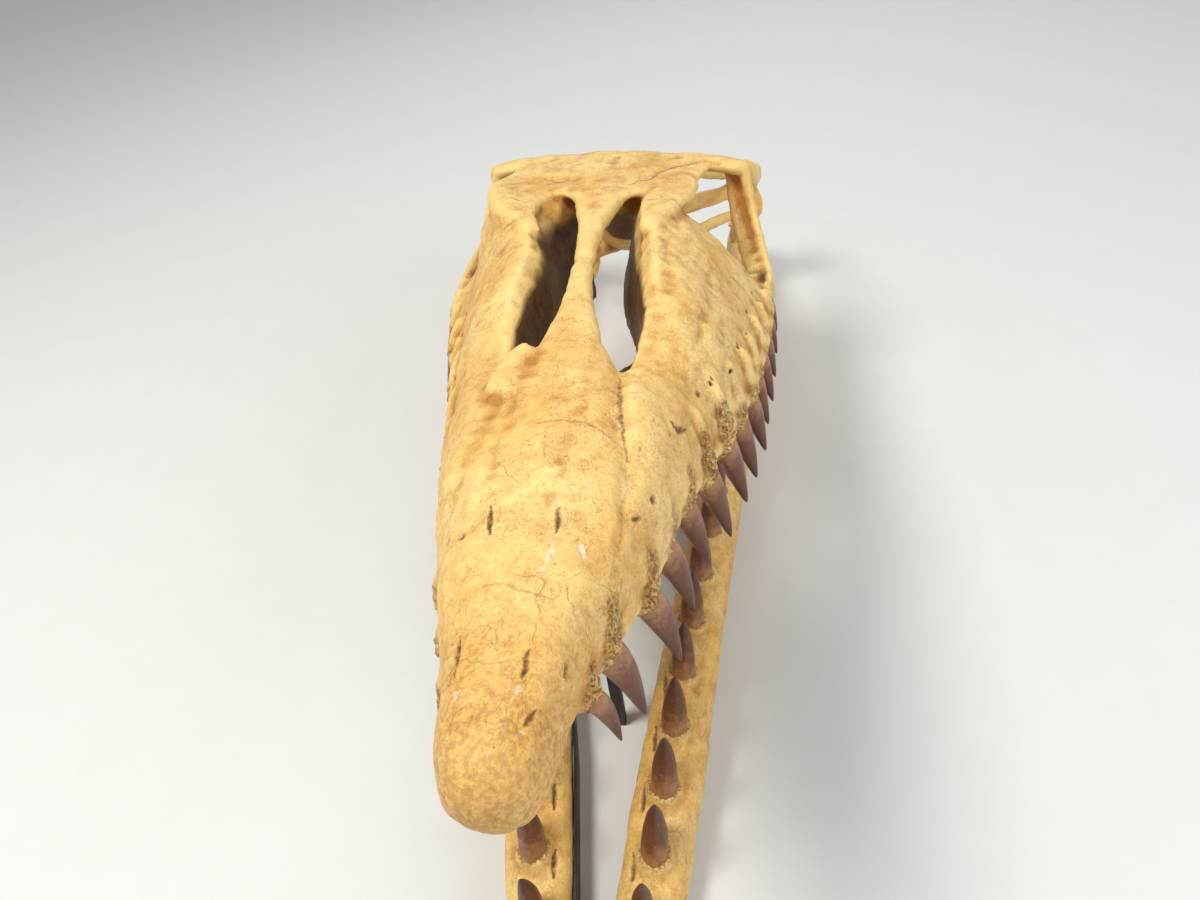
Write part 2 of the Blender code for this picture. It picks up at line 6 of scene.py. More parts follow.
import bmesh
import bpy
import numpy as np
from bpy.props import FloatProperty, FloatVectorProperty, IntProperty, PointerProperty
from mathutils import Matrix, Vector, noise
from mathutils.bvhtree import BVHTree
from mathutils.kdtree import KDTree


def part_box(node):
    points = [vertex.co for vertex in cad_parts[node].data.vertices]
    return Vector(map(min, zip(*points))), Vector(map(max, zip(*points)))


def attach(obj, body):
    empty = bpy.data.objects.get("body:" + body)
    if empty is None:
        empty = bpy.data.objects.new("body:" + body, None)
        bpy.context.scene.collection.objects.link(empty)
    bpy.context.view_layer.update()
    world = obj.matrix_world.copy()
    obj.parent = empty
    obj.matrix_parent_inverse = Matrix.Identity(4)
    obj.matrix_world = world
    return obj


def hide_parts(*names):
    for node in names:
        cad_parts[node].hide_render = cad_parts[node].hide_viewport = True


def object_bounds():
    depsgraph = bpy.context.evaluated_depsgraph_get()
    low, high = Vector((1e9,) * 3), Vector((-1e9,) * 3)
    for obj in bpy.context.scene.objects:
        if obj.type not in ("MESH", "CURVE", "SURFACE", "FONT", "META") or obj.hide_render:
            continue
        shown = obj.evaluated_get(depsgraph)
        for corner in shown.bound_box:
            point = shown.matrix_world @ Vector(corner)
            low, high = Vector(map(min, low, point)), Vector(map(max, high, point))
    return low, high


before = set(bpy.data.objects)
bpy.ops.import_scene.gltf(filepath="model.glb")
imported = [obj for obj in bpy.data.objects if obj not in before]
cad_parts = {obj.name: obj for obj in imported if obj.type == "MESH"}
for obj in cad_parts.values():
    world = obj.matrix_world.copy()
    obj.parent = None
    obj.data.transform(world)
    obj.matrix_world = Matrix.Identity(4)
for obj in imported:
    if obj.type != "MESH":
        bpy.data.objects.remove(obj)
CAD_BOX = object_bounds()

bl_info = {
    "name": "Fossil skull",
    "version": (1, 0, 0),
    "blender": (4, 5, 0),
    "location": "View3D > Sidebar > Fossil skull",
    "description": "Grows the bones, teeth and steel supports of a fossil marine lizard's skull",
    "category": "Object",
}

MM = 0.001

# The pose of the skull, in millimetres and degrees
GAPE = 18.9
JAW_REST_TILT = 4.6
JAW_YAW = -0.6
JAW_JOINT = (0.0, 1251.0, -18.0)
CRANIUM_PITCH = GAPE - JAW_REST_TILT

# How the ground has crushed the skull
TWIST = 3.4
TWIST_LEVEL = 120.0
WIDE_NARIS = 40.0
PINCHED_MARGIN = 17.0
BENT_BAR = 8.0
DRAGGED_ORBIT = 30.0
WIDE_BROW = 42.0
PRESSED_CORNER = 7.0

# Midline forms of the cranium: y backwards, half width, top, bottom
SNOUT = [
    (-4, 5, 36, 20), (0, 16, 46, 8), (9, 25, 54, -1), (24, 30, 58, -5), (46, 33, 62, -7),
    (68, 37, 66, -7), (102, 46, 73, -6), (136, 56, 79, -4), (170, 63, 86, 0), (205, 68, 93, 4),
    (250, 68, 101, 10), (300, 62, 109, 26), (350, 50, 115, 52), (400, 33, 119, 80),
]
NARIAL_BAR = [
    (350, 44, 115, 66), (400, 31, 121, 78), (445, 20, 128, 96), (500, 14, 134, 108),
    (560, 11, 141, 118), (620, 10, 148, 126), (680, 11, 156, 134), (730, 19, 164, 144), (780, 30, 171, 152),
]
FRONTAL = [
    (742, 20, 165, 153), (771, 50, 169, 155), (800, 90, 172, 153), (835, 108, 176, 154),
    (880, 122, 180, 158), (920, 120, 181, 158), (955, 84, 178, 152), (990, 44, 172, 146),
]
PARIETAL = [(940, 64, 177, 146), (975, 44, 173, 132), (1015, 34, 166, 112), (1055, 34, 158, 100), (1085, 36, 149, 92)]
BRAINCASE = [
    (955, 22, 152, 116), (1000, 38, 150, 44), (1060, 50, 142, 12), (1120, 54, 128, 2),
    (1165, 48, 104, 10), (1195, 30, 84, 26),
]
CONDYLE = [(1175, 20, 72, 26), (1205, 24, 74, 24), (1226, 18, 68, 32), (1236, 7, 58, 42)]
ORBIT_WALL_FRONT = [(794, 46, 164, 124), (806, 46, 164, 124)]

# Side plates: top edge x, y, z, bottom edge x, y, z, thickness, outward bulge
MAXILLA = [
    (42, 160, 62, 52, 150, 6, 16, 4), (50, 235, 84, 72, 222, 7, 22, 9), (50, 320, 102, 90, 300, 7, 26, 13),
    (52, 400, 100, 114, 385, 8, 24, 15), (64, 480, 120, 138, 455, 8, 22, 16), (62, 560, 138, 158, 530, 9, 20, 16),
    (56, 640, 150, 175, 618, 13, 18, 15), (64, 710, 158, 189, 696, 23, 18, 9), (94, 766, 130, 194, 746, 30, 16, 0),
    (128, 786, 73, 196, 786, 34, 14, -4), (168, 800, 52, 198, 832, 40, 12, 0),
]
NASAL_WALL = [
    (56, 420, 104, 62, 420, 40, 9, 0), (60, 490, 118, 56, 490, 50, 10, 0), (56, 580, 133, 40, 580, 46, 12, 0),
    (52, 660, 145, 28, 660, 38, 12, 0), (46, 730, 151, 20, 730, 28, 12, 0), (40, 785, 154, 16, 785, 22, 11, 0),
]
ORBIT_WALL = [
    (30, 788, 150, 24, 778, 30, 10, 0), (96, 792, 130, 92, 780, 22, 10, 0), (138, 786, 64, 180, 772, 32, 12, 0),
]

# Bars of bone on each side: x, y, z, half width, half height
MARGIN = [
    (50, 150, 10, 9, 8), (64, 198, 11, 10, 8), (89, 305, 13, 10, 8), (122, 411, 14, 10, 8), (152, 516, 14, 10, 8),
    (173, 618, 18, 10, 8), (188, 718, 27, 10, 8), (196, 800, 35, 9, 9),
]
PREFRONTAL = [
    (54, 640, 148, 10, 9), (62, 700, 156, 22, 10), (72, 755, 158, 28, 11), (82, 805, 160, 24, 10),
    (92, 846, 164, 16, 9),
]
POSTORBITAL = [(84, 905, 172, 30, 10), (132, 906, 168, 26, 10), (156, 904, 164, 19, 10), (168, 902, 158, 12, 10)]
JUGAL = [
    (164, 906, 160, 16, 8), (171, 904, 132, 14, 7), (181, 892, 96, 14, 7), (190, 866, 64, 15, 7),
    (194, 826, 48, 15, 7), (193, 776, 41, 14, 7), (188, 730, 33, 11, 7), (182, 700, 26, 7, 5),
]
SQUAMOSAL = [
    (168, 912, 158, 10, 14), (180, 990, 138, 9, 13), (189, 1090, 112, 9, 14), (193, 1180, 94, 11, 16),
    (190, 1236, 82, 13, 14),
]
PARIETAL_RAMUS = [(16, 1060, 142, 18, 16), (64, 1120, 122, 13, 13), (122, 1184, 100, 10, 13), (176, 1228, 84, 11, 12)]
PAROCCIPITAL = [(34, 1140, 58, 22, 22), (84, 1178, 52, 12, 16), (132, 1208, 54, 9, 14), (180, 1234, 64, 10, 14)]
VOMER = [(12, 250, 14, 10, 12), (13, 340, 4, 10, 9), (14, 430, 2, 8, 8), (18, 520, 4, 7, 7), (30, 590, 8, 7, 6)]
PALATINE = [(26, 570, 6, 7, 6), (60, 625, 10, 22, 6), (92, 690, 14, 40, 6), (92, 760, 16, 40, 6), (78, 815, 14, 26, 6)]
PTERYGOID = [
    (72, 780, 14, 24, 7), (68, 850, 6, 26, 8), (62, 940, 0, 20, 9), (58, 1020, 2, 17, 9), (70, 1085, 8, 15, 9),
    (104, 1150, 16, 10, 10), (142, 1204, 18, 8, 10), (168, 1238, 14, 7, 8),
]
JUGAL_FLANGE = [
    (150, 914, 160, 12, 6), (156, 910, 122, 13, 6), (164, 896, 86, 13, 6), (172, 868, 60, 12, 6), (178, 826, 48, 10, 6),
]
ECTOPTERYGOID = [(78, 905, 4, 16, 7), (130, 888, 12, 10, 8), (184, 838, 28, 10, 9)]
EPIPTERYGOID = [(54, 1016, 8, 6, 6), (46, 1018, 60, 5, 5), (38, 1014, 120, 6, 6)]
BASIPTERYGOID = [(26, 1086, 20, 16, 16), (48, 1066, 12, 13, 12)]
NARIS_SILL = [(48, 322, 104, 14, 9), (44, 356, 110, 12, 8), (34, 388, 117, 8, 7)]

# Teeth
PEDICEL_SHARE = 0.07
PEDICEL_RADII = (5.0, 9.8, 15.0, 15.2)
UPPER_TOOTH_LEAN = (22, 9, -66)
ROOT_COLUMN = [(-6, 6, 50), (-1, 3, 24), (0, 0, 0)]
# Front teeth of the left row that have rough bone high above them
HIGH_ROOTS = 7
UPPER_TEETH = [
    ("premaxillary_1", 43, 93, 11, 0.62), ("premaxillary_2", 46, 131, 16, 0.98),
    ("maxillary_01", 67, 195, 6, 1.0), ("maxillary_02", 75, 250, 13, 1.06), ("maxillary_03", 89, 304, 15, 1.0),
    ("maxillary_04", 108, 356, 12, 1.08), ("maxillary_05", 126, 412, 13, 1.06), ("maxillary_06", 139, 464, 12, 1.08),
    ("maxillary_07", 154, 516, 11, 1.0), ("maxillary_08", 163, 568, 12, 0.92), ("maxillary_09", 173, 618, 15, 0.88),
    ("maxillary_10", 181, 666, 20, 0.8), ("maxillary_11", 188, 712, 25, 0.7), ("maxillary_12", 193, 756, 30, 0.58),
]
LOWER_TOOTH_COUNT = 12
LOWER_TOOTH_FIRST = 1171
LOWER_TOOTH_PITCH = 64
LOWER_TOOTH_LEAN = (5, 22, 76)
CROWN_RADIUS = 13.0
LOWER_CROWN_RADIUS = 15.0
CROWN_FLATNESS = 0.88
CROWN_HOOK = 0.10
# Share of the crown's length, share of its radius
CROWN_PROFILE = [
    (-0.12, 0.90), (-0.02, 0.99), (0.10, 1.0), (0.25, 0.95), (0.42, 0.84), (0.60, 0.67),
    (0.76, 0.48), (0.88, 0.31), (0.96, 0.17), (1.0, 0.06),
]
LOWER_PEDICEL_SHARE = 0.15
LOWER_PEDICEL_RADII = (19, 18.5, 17.8)
PTERYGOID_TEETH = 8
PTERYGOID_TOOTH_FIRST = (70, 820, 2)
PTERYGOID_TOOTH_STEP = (-1.4, 22, -0.6)
PTERYGOID_TOOTH = [(0, 0, 0, 8, 8), (1, 4, -16, 7, 7), (1, 8, -24, 4, 4)]

# Lower jaw, in its own frame: m forwards from the joint, middle x, half width, top, bottom
JAW = [
    (-112, 176, 10, -34, -58), (-84, 176, 17, -20, -76), (-40, 174, 24, -8, -94), (0, 172, 27, -12, -104),
    (50, 170, 24, 6, -115), (120, 168, 22, 14, -123), (200, 165, 22, 20, -125.5), (290, 160, 23, 24, -118.7),
    (380, 153, 24, 34, -111.4), (445, 145, 25, 34, -106.2), (500, 138, 27, 10, -101.7), (600, 122, 29, 1, -93.7),
    (750, 98, 32, 0, -81.6), (915, 74, 35, 0, -68.3), (1043, 58, 34, 0, -58), (1120, 46, 29, -2, -52),
    (1180, 34, 22, -6, -47), (1220, 24, 15, -12, -43), (1238, 18, 8, -20, -36),
]
GLENOID_LIP = [(-26, 172, -6, 26, 6), (-34, 172, 2, 20, 6)]

# Quadrate: x, y, z, half width, half height
QUADRATE_SHAFT = [
    (189, 1238, 77, 15, 12), (186, 1241, 60, 14, 12), (183, 1247, 36, 11, 11), (177, 1252, 6, 12, 10),
    (172, 1252, -16, 19, 12), (172, 1252, -37, 18, 11),
]
QUADRATE_HOOK = [(186, 1244, 58, 13, 10), (182, 1270, 54, 12, 9), (178, 1286, 34, 10, 8), (176, 1286, 12, 7, 6)]
QUADRATE_EAR = [(192, 1238, 52, 10, 4), (200, 1240, 26, 12, 4), (190, 1246, 2, 8, 4)]

# Steel straps and post
STRAP_THICKNESS = 3.0
STRAP_HEIGHTS = {"left": 10.0, "right": 24.0}
STRAP_SEATS = {"left": 0.94, "right": 1.0}
STRAP_OFFSET = 1.8
STRAP_LEVELS = {"left": 0.84, "right": 0.62}
STRAP_RUN = (300, 1110)
STRAP_STEPS = 9

# Marks on the cranium, in its crushed frame: half width, depth, darkness, points. Above 1 it is white filler, not dark
MARKS = [
    (1.4, 1.8, 0.8, [(45, 352, 101), (45, 349, 100), (49, 307, 99), (53, 273, 94), (57, 255, 88), (58, 246, 85)]),
    (1.3, 1.1, 0.35, [(58, 246, 85), (59, 233, 82), (58, 203, 74), (57, 177, 67), (57, 162, 60), (55, 144, 53)]),
    (6.0, 2.2, 0.0, [(45, 349, 100), (53, 273, 94), (59, 233, 82), (57, 177, 67), (55, 140, 53)]),
    (7.0, 1.8, 0.0, [(-57, 397, 101), (-56, 292, 97), (-62, 242, 82), (-58, 177, 66)]),
    (1.2, 0.8, 0.5, [(-11, 269, 103), (10, 271, 104), (24, 273, 102), (46, 262, 94), (56, 255, 88)]),
    (1.2, 0.8, 0.4, [(-20, 116, 72), (-10, 118, 75), (4, 113, 74), (23, 108, 71)]),
    (1.0, 0.7, 0.3, [(1, 257, 102), (4, 224, 96)]),
    (1.6, 1.6, 0.7, [(26, 775, 168), (38, 793, 169), (50, 800, 168), (58, 818, 170), (61, 834, 171), (79, 857, 171),
                     (97, 871, 170), (118, 885, 168)]),
    # The next two wide furrows carry a faint darkness, a painted shade in the furrow
    (6.0, 2.4, 0.2, [(26, 775, 168), (50, 800, 168), (61, 834, 171), (79, 857, 171), (97, 871, 170), (118, 885, 168),
                     (134, 880, 166)]),
    (7.0, 2.6, 0.2, [(92, 838, 166), (104, 826, 160), (110, 806, 150)]),
    (1.4, 1.2, 0.6, [(-48, 800, 172), (-66, 806, 176), (-84, 818, 178), (-104, 822, 178)]),
    (1.5, 1.2, 0.6, [(-111, 722, 167), (-93, 712, 172)]),
    (1.5, 1.0, 0.6, [(-121, 672, 132), (-91, 658, 156)]),
    (1.5, 2.4, 0.9, [(-26, 185, 86), (-21, 158, 80)]),
    (1.5, 2.4, 0.9, [(20, 181, 86), (20, 160, 81)]),
    (1.2, 0.8, 1.6, [(20, 152, 81), (16, 126, 75)]),
    (1.6, 1.4, 1.6, [(36, 154, 77), (37, 145, 72)]),
    (2.2, 2.4, 0.9, [(-43, 165, 76), (-43, 164, 76)]),
    (2.2, 2.4, 0.9, [(-55, 173, 68), (-55, 172, 68)]),
    (1.4, 1.8, 0.9, [(-26, 84, 63), (-21, 58, 57)]),
    (1.4, 1.8, 0.9, [(17, 73, 65), (15, 55, 61)]),
    (1.4, 1.6, 0.8, [(34, 74, 50), (33, 70, 48)]),
    (1.4, 1.8, 0.9, [(24, 40, 52), (20, 30, 52)]),
    (1.3, 0.5, 1.5, [(-19, 46, 56), (-18, 44, 56)]),
    (1.3, 0.5, 1.6, [(15, 47, 60), (14, 45, 59)]),
    (1.3, 0.5, 1.5, [(32, 66, 46), (32, 64, 45)]),
    (1.3, 0.5, 1.5, [(19, 25, 52), (18, 23, 52)]),
    (1.1, 0.5, 1.4, [(58, 232, 82), (57, 208, 75)]),
    (2.4, 3.0, 0.9, [(85, 315, 77), (90, 317, 70), (95, 330, 63)]),
    (2.0, 2.4, 0.8, [(74, 229, 61), (74, 227, 61)]),
    (1.8, 2.0, 0.8, [(64, 198, 65), (67, 206, 62)]),
    (2.4, 2.6, 0.9, [(104, 394, 63), (104, 391, 63)]),
    (1.2, 0.8, 0.5, [(66, 262, 84), (66, 259, 84)]),
    (1.2, 0.8, 0.5, [(73, 300, 87), (73, 297, 87)]),
    # Broad soft furrows between the swellings of the bones
    (11.0, 3.2, 0.0, [(40, 360, 108), (66, 420, 108), (74, 520, 122), (70, 620, 138)]),
    (9.0, 2.6, 0.0, [(96, 440, 84), (112, 540, 92), (118, 640, 104)]),
    (9.0, 2.8, 0.0, [(-96, 400, 80), (-110, 500, 92), (-112, 620, 112)]),
    (10.0, 3.0, 0.0, [(36, 800, 174), (66, 812, 170), (92, 838, 168)]),
    (10.0, 3.0, 0.0, [(-30, 800, 174), (-62, 806, 176), (-96, 826, 178)]),
    (8.0, 2.2, 0.0, [(0, 840, 178), (4, 900, 182)]),
    (8.0, 2.0, 0.0, [(70, 700, 158), (100, 740, 140), (112, 770, 120)]),
    (7.0, 1.6, 0.0, [(24, 330, 112), (20, 250, 100), (14, 190, 90)]),
    (7.0, 1.5, 0.0, [(-30, 330, 110), (-34, 240, 96), (-30, 170, 82)]),
]
# Rows of nerve holes: places along the jaws, height above the tooth row, half width, depth
UPPER_NERVE_HOLES = [(y, 56 + 5 * (k % 2), 1.7, 2.2) for k, y in enumerate(range(366, 740, 53))]
LOWER_NERVE_HOLES = [(m, -28 - 5 * (k % 2), 2.0, 2.6) for k, m in enumerate(range(560, 1200, 64))]
# The long groove along the inside of a lower jaw: its two ends, and its height as a share of the jaw's from the top
INNER_GROOVE = (520, 1215, 0.78)
JAW_CRACK = [(193, -430, 18), (186, -424, -20), (184, -436, -52), (178, -420, -92)]

# How a mark is cut, in millimetres: spacing of its samples, how far they wander and the seed of that, the length from
# which its ends taper, the half width below which the skin gets finer, within which distances, and its furthest reach
MARK_STEP = 1.4
MARK_WANDER = 1.6
MARK_SEED = 7
LONG_MARK = 8
THIN_MARK = 3
FINER_WITHIN = (7, 4)
MARK_REACH = 24
# Reach of a mark against its half width
MARK_FADE = 1.9

# Painted shade inside the snout: the height of its roof above y, and the y and z at which it has faded out
SNOUT_ROOF = [(400, 70), (445, 88), (500, 104), (560, 112), (680, 120), (740, 124)]
DARK_END = (840, 60)
DARK_TOP = (150, 14)
# Middle line of the cranium, which its outer faces look away from: y, z
SNOUT_AXIS = [(0, 24), (200, 36), (400, 46), (700, 60), (900, 80), (1250, 60)]

# The camera, in the cranium's frame in millimetres, for an image of 1200 by 900
CAMERA_PLACE = (120.8, -287.6, 373.6)
CAMERA_RIGHT = (0.990, 0.102, -0.092)
CAMERA_DOWN = (-0.034, -0.470, -0.882)
CAMERA_VIEW = (-0.134, 0.877, -0.462)
FOCAL_PIXELS = 877.4
IMAGE_WIDTH = 1200
SENSOR = 36.0

# The floor and the lights, in metres and watts: name, place, size, power, colour
FLOOR_SIZE = 40.0
FLOOR_GAP = 0.0005
LIGHTS = [
    ("key", (-1.3, -0.9, 2.9), 1.0, 74, "FFFAF2"), ("fill", (2.3, -1.5, 1.9), 1.8, 42, "FAFAFF"),
    ("back", (0.4, 2.4, 2.2), 2.0, 20, "FFFFFF"),
]
LIGHTS_AIM = (0, -0.3, 0.2)
ROOM_COLOUR = "F6F6F4"
ROOM_STRENGTH = 0.48

SIDES = {"left": 1, "right": -1}


def colour(code):
    """A hex sRGB colour as linear red, green, blue and alpha."""
    values = [int(code[i:i + 2], 16) / 255 for i in (0, 2, 4)]
    return [v / 12.92 if v <= 0.04045 else ((v + 0.055) / 1.055) ** 2.4 for v in values] + [1.0]


def tint(name, code, words):
    return FloatVectorProperty(
        name=name, description=words, size=4, min=0, max=1, default=colour(code), subtype="COLOR")


def span(name, words, default, low, high):
    return FloatProperty(name=name, description=words, default=default, min=low, max=high, unit="LENGTH")


class BoneSettings(bpy.types.PropertyGroup):
    # The pale colour is the bone's own, and also the painted highlight on ridges
    pale: tint("Pale bone", "F3D488", "Colour of the worn, pale bone")
    ochre: tint("Ochre bone", "DFAE54", "Colour of most of the bone")
    # The rusty colour is that of the stained patches, and also of the painted shade in creases
    rust_and_crease_shade: tint("Rusty bone", "A66A20", "Colour of the hollows and stained patches")
    # The dark and inside colours paint the shade inside the snout; dark also colours the cracks, seams, specks and
    # pitted bone
    dark: tint("Dark hollows", "3F2412", "Colour inside the snout and deep in the cracks")
    inside: tint("Brown hollows", "6B4526", "Colour of the lighter patches inside the snout")
    filler: tint("Filler", "F3EAD8", "Colour of the small white repairs")
    cranium_grid: span("Cranium fineness", "Cell size of the grown cranium", 0.0041, 0.003, 0.01)
    jaw_grid: span("Jaw fineness", "Cell size of the grown jaws", 0.0036, 0.003, 0.01)
    quadrate_grid: span("Quadrate fineness", "Cell size of the grown quadrates", 0.002, 0.001, 0.01)
    relief: span("Relief", "Height of the uneven bone surface", 0.0016, 0, 0.004)


class ToothSettings(bpy.types.PropertyGroup):
    tip: tint("Crown", "6A3C1E", "Colour of the crowns")
    foot: tint("Crown foot", "9C6C3E", "Colour of the crowns near the bone")
    shine: FloatProperty(
        name="Roughness", description="Roughness of the enamel", default=0.34, min=0, max=1, subtype="FACTOR")
    sides: IntProperty(name="Sides", description="Faces around a crown", default=24, min=8, max=48)


class SupportSettings(bpy.types.PropertyGroup):
    paint: tint("Paint", "0C0C0E", "Colour of the painted steel")
    edge: span("Edge", "Rounding of the steel's edges", 0.0005, 0.0001, 0.001)


class StageSettings(bpy.types.PropertyGroup):
    floor: tint("Floor", "D8DAD9", "Colour of the floor")


class SkullSettings(bpy.types.PropertyGroup):
    bone: PointerProperty(type=BoneSettings)
    teeth: PointerProperty(type=ToothSettings)
    supports: PointerProperty(type=SupportSettings)
    stage: PointerProperty(type=StageSettings)


def settings():
    return bpy.context.scene.fossil_skull


# Shapes

def catmull(rows, steps):
    """Smooth rows of numbers between the given ones."""
    rows = [tuple(float(v) for v in row) for row in rows]
    out = []
    for i in range(len(rows) - 1):
        before = rows[max(i - 1, 0)]
        after = rows[min(i + 2, len(rows) - 1)]
        for k in range(steps):
            t = k / steps
            out.append(tuple(
                0.5 * (2 * b + (c - a) * t + (2 * a - 5 * b + 4 * c - d) * t ** 2 + (3 * b - a - 3 * c + d) * t ** 3)
                for a, b, c, d in zip(before, rows[i], rows[i + 1], after)))
    out.append(rows[-1])
    return out


def oval(count, power):
    """Points of a rounded box between a circle (power 2) and a square."""
    points = []
    for k in range(count):
        angle = 2 * math.pi * k / count
        c, s = math.cos(angle), math.sin(angle)
        points.append((math.copysign(abs(c) ** (2 / power), c), math.copysign(abs(s) ** (2 / power), s)))
    return points


def skin(bm, rings):
    """One closed skin through rings of points in millimetres."""
    count = len(rings[0])
    loop = bmesh.ops.create_circle(bm, segments=count, radius=MM)["verts"]
    for vert, point in zip(loop, rings[0]):
        vert.co = Vector(point) * MM
    bmesh.ops.contextual_create(bm, geom=loop)
    for ring in rings[1:]:
        edges = [bm.edges.get((loop[i], loop[(i + 1) % count])) for i in range(count)]
        made = bmesh.ops.extrude_edge_only(bm, edges=edges)["geom"]
        fresh = {item for item in made if isinstance(item, bmesh.types.BMVert)}
        loop = [next(e.other_vert(v) for e in v.link_edges if e.other_vert(v) in fresh) for v in loop]
        for vert, point in zip(loop, ring):
            vert.co = Vector(point) * MM
    bmesh.ops.contextual_create(bm, geom=loop)


def bar(bm, rows, side=1, count=18, steps=5, up=(0, 0, 1), power=2.2):
    """A bar of bone along a smooth line; rows are x, y, z, half width, half height."""
    rows = catmull(rows, steps)
    rings = []
    for i, (x, y, z, half_width, half_height) in enumerate(rows):
        before, after = rows[max(i - 1, 0)], rows[min(i + 1, len(rows) - 1)]
        along = (Vector(after[:3]) - Vector(before[:3])).normalized()
        across = along.cross(Vector(up)).normalized()
        upward = across.cross(along)
        centre = Vector((x, y, z))
        ring = [centre + across * (px * half_width) + upward * (py * half_height) for px, py in oval(count, power)]
        rings.append([(p.x * side, p.y, p.z) for p in ring])
    skin(bm, rings)


def midline(bm, rows, count=32, steps=5, power=2.4):
    """A form that is cut in two by the middle plane; rows are y, half width, top, bottom."""
    rings = []
    for y, half_width, top, bottom in catmull(rows, steps):
        middle, half_height = (top + bottom) / 2, (top - bottom) / 2
        rings.append([(px * half_width, y, middle + py * half_height) for px, py in oval(count, power)])
    skin(bm, rings)


def plate(bm, rows, side=1, count=26, steps=5, power=2.6):
    """A curved side plate; rows are top edge, bottom edge, thickness, bulge."""
    rows = catmull(rows, steps)
    middles = [(Vector(row[0:3]) + Vector(row[3:6])) / 2 for row in rows]
    rings = []
    for i, row in enumerate(rows):
        half = (Vector(row[0:3]) - Vector(row[3:6])) / 2
        along = (middles[min(i + 1, len(rows) - 1)] - middles[max(i - 1, 0)]).normalized()
        outward = half.cross(along).normalized()
        if outward.x < 0:
            outward.negate()
        thickness, bulge = row[6], row[7]
        ring = [middles[i] + half * px + outward * (py * thickness / 2 + bulge * (1 - px * px))
                for px, py in oval(count, power)]
        rings.append([(p.x * side, p.y, p.z) for p in ring])
    skin(bm, rings)


def ease(value, start, end):
    """0 before start, 1 after end, and smooth between."""
    t = min(max((value - start) / (end - start), 0.0), 1.0)
    return t * t * (3 - 2 * t)


def crushed(point):
    """Where a point of the even skull lies after the crushing in the ground, in millimetres."""
    x, y, z = point
    x -= BENT_BAR * math.exp(-((y - 590) / 130) ** 2) * math.exp(-(x / 30) ** 2) * ease(z, 90, 120)
    if x < 0:
        x -= WIDE_NARIS * math.exp(-((y - 705) / 75) ** 2) * math.exp(-((x + 62) / 44) ** 2)
        x += PINCHED_MARGIN * math.exp(-((y - 500) / 170) ** 2) * ease(-x, 80, 150) * (1 - ease(z, 60, 120))
        x += PRESSED_CORNER * math.exp(-((y - 900) / 60) ** 2) * ease(-x, 90, 160)
        x -= WIDE_BROW * math.exp(-((y - 785) / 75) ** 2) * ease(-x, 60, 105) * ease(z, 85, 120)
        y += DRAGGED_ORBIT * math.exp(-((y - 790) / 50) ** 2) * ease(-x, 70, 120)
    angle = math.radians(TWIST) * ease(y, 200, 750) * (1 - ease(y, 980, 1220))
    lift = z - TWIST_LEVEL
    return Vector((
        x * math.cos(angle) + lift * math.sin(angle), y,
        TWIST_LEVEL - x * math.sin(angle) + lift * math.cos(angle)))


def lower_row_x(m):
    """Sideways place of the lower tooth row at m."""
    return min(catmull(JAW, 8), key=lambda row: abs(row[0] - m))[1]


def lower_size(index):
    """Size of a lower tooth against a full one; the first and the last few are smaller."""
    return min(0.82 + 0.10 * index, 1.0, 1.0 - 0.09 * (index - 8))


def lower_tooth(index, side):
    """Root, crown foot and tip of a lower tooth, counted from the front."""
    m = LOWER_TOOTH_FIRST - LOWER_TOOTH_PITCH * index
    start = Vector((lower_row_x(m) * side, -m, -4))
    lean = Vector((LOWER_TOOTH_LEAN[0] * side, LOWER_TOOTH_LEAN[1], LOWER_TOOTH_LEAN[2])) * lower_size(index)
    return start, start + lean * LOWER_PEDICEL_SHARE, start + lean


def strap_rings(word):
    """Rings of a strap in its jaw's frame."""
    side, half_height = SIDES[word], STRAP_HEIGHTS[word] / 2
    rows = catmull(JAW, 8)
    rings = []
    for k in range(STRAP_STEPS + 1):
        m = STRAP_RUN[0] + (STRAP_RUN[1] - STRAP_RUN[0]) * k / STRAP_STEPS
        row = min(rows, key=lambda r: abs(r[0] - m))
        inner = row[1] - row[2] * STRAP_SEATS[word] - STRAP_OFFSET
        middle = row[3] + (row[4] - row[3]) * STRAP_LEVELS[word]
        rings.append([(side * (inner + dx), -m, middle + dz) for dx, dz in (
            (0, half_height), (-STRAP_THICKNESS, half_height), (-STRAP_THICKNESS, -half_height), (0, -half_height))])
    return rings


def skull_matrices():
    """The places of the cranium's and the jaws' frames; the steel straps in the frame show where they stand."""
    turned = Matrix.Rotation(math.radians(-CRANIUM_PITCH), 4, "X")
    jaws = turned @ Matrix.Translation(Vector(JAW_JOINT) * MM) @ (
        Matrix.Rotation(math.radians(JAW_YAW), 4, "Z") @ Matrix.Rotation(math.radians(GAPE), 4, "X"))
    points = [jaws @ (Vector(p) * MM) for ring in strap_rings("left") for p in ring]
    low = Vector([min(p[i] for p in points) for i in range(3)])
    stand = Matrix.Translation(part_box("support_strap_left")[0] - low)
    return stand @ turned, stand @ jaws


# Making and finishing a mesh

def new_object(name, bm):
    """A bmesh as an object of the scene."""
    mesh = bpy.data.meshes.new(name)
    bm.to_mesh(mesh)
    bm.free()
    made = bpy.data.objects.new(name, mesh)
    bpy.context.scene.collection.objects.link(made)
    return made


def grown(bm, cell, smoothing):
    """The overlapping forms of a bmesh, grown together and worn smooth, as a new bmesh."""
    bmesh.ops.recalc_face_normals(bm, faces=bm.faces[:])
    made = new_object("forms", bm)
    mesh = made.data
    remesh = made.modifiers.new("grown_together", "REMESH")
    remesh.mode = "VOXEL"
    remesh.voxel_size = cell
    smooth = made.modifiers.new("worn", "SMOOTH")
    smooth.factor = 0.5
    smooth.iterations = smoothing
    bpy.context.view_layer.update()
    done = made.evaluated_get(bpy.context.evaluated_depsgraph_get())
    out = bmesh.new()
    out.from_mesh(done.to_mesh())
    done.to_mesh_clear()
    bpy.data.objects.remove(made)
    bpy.data.meshes.remove(mesh)
    return out


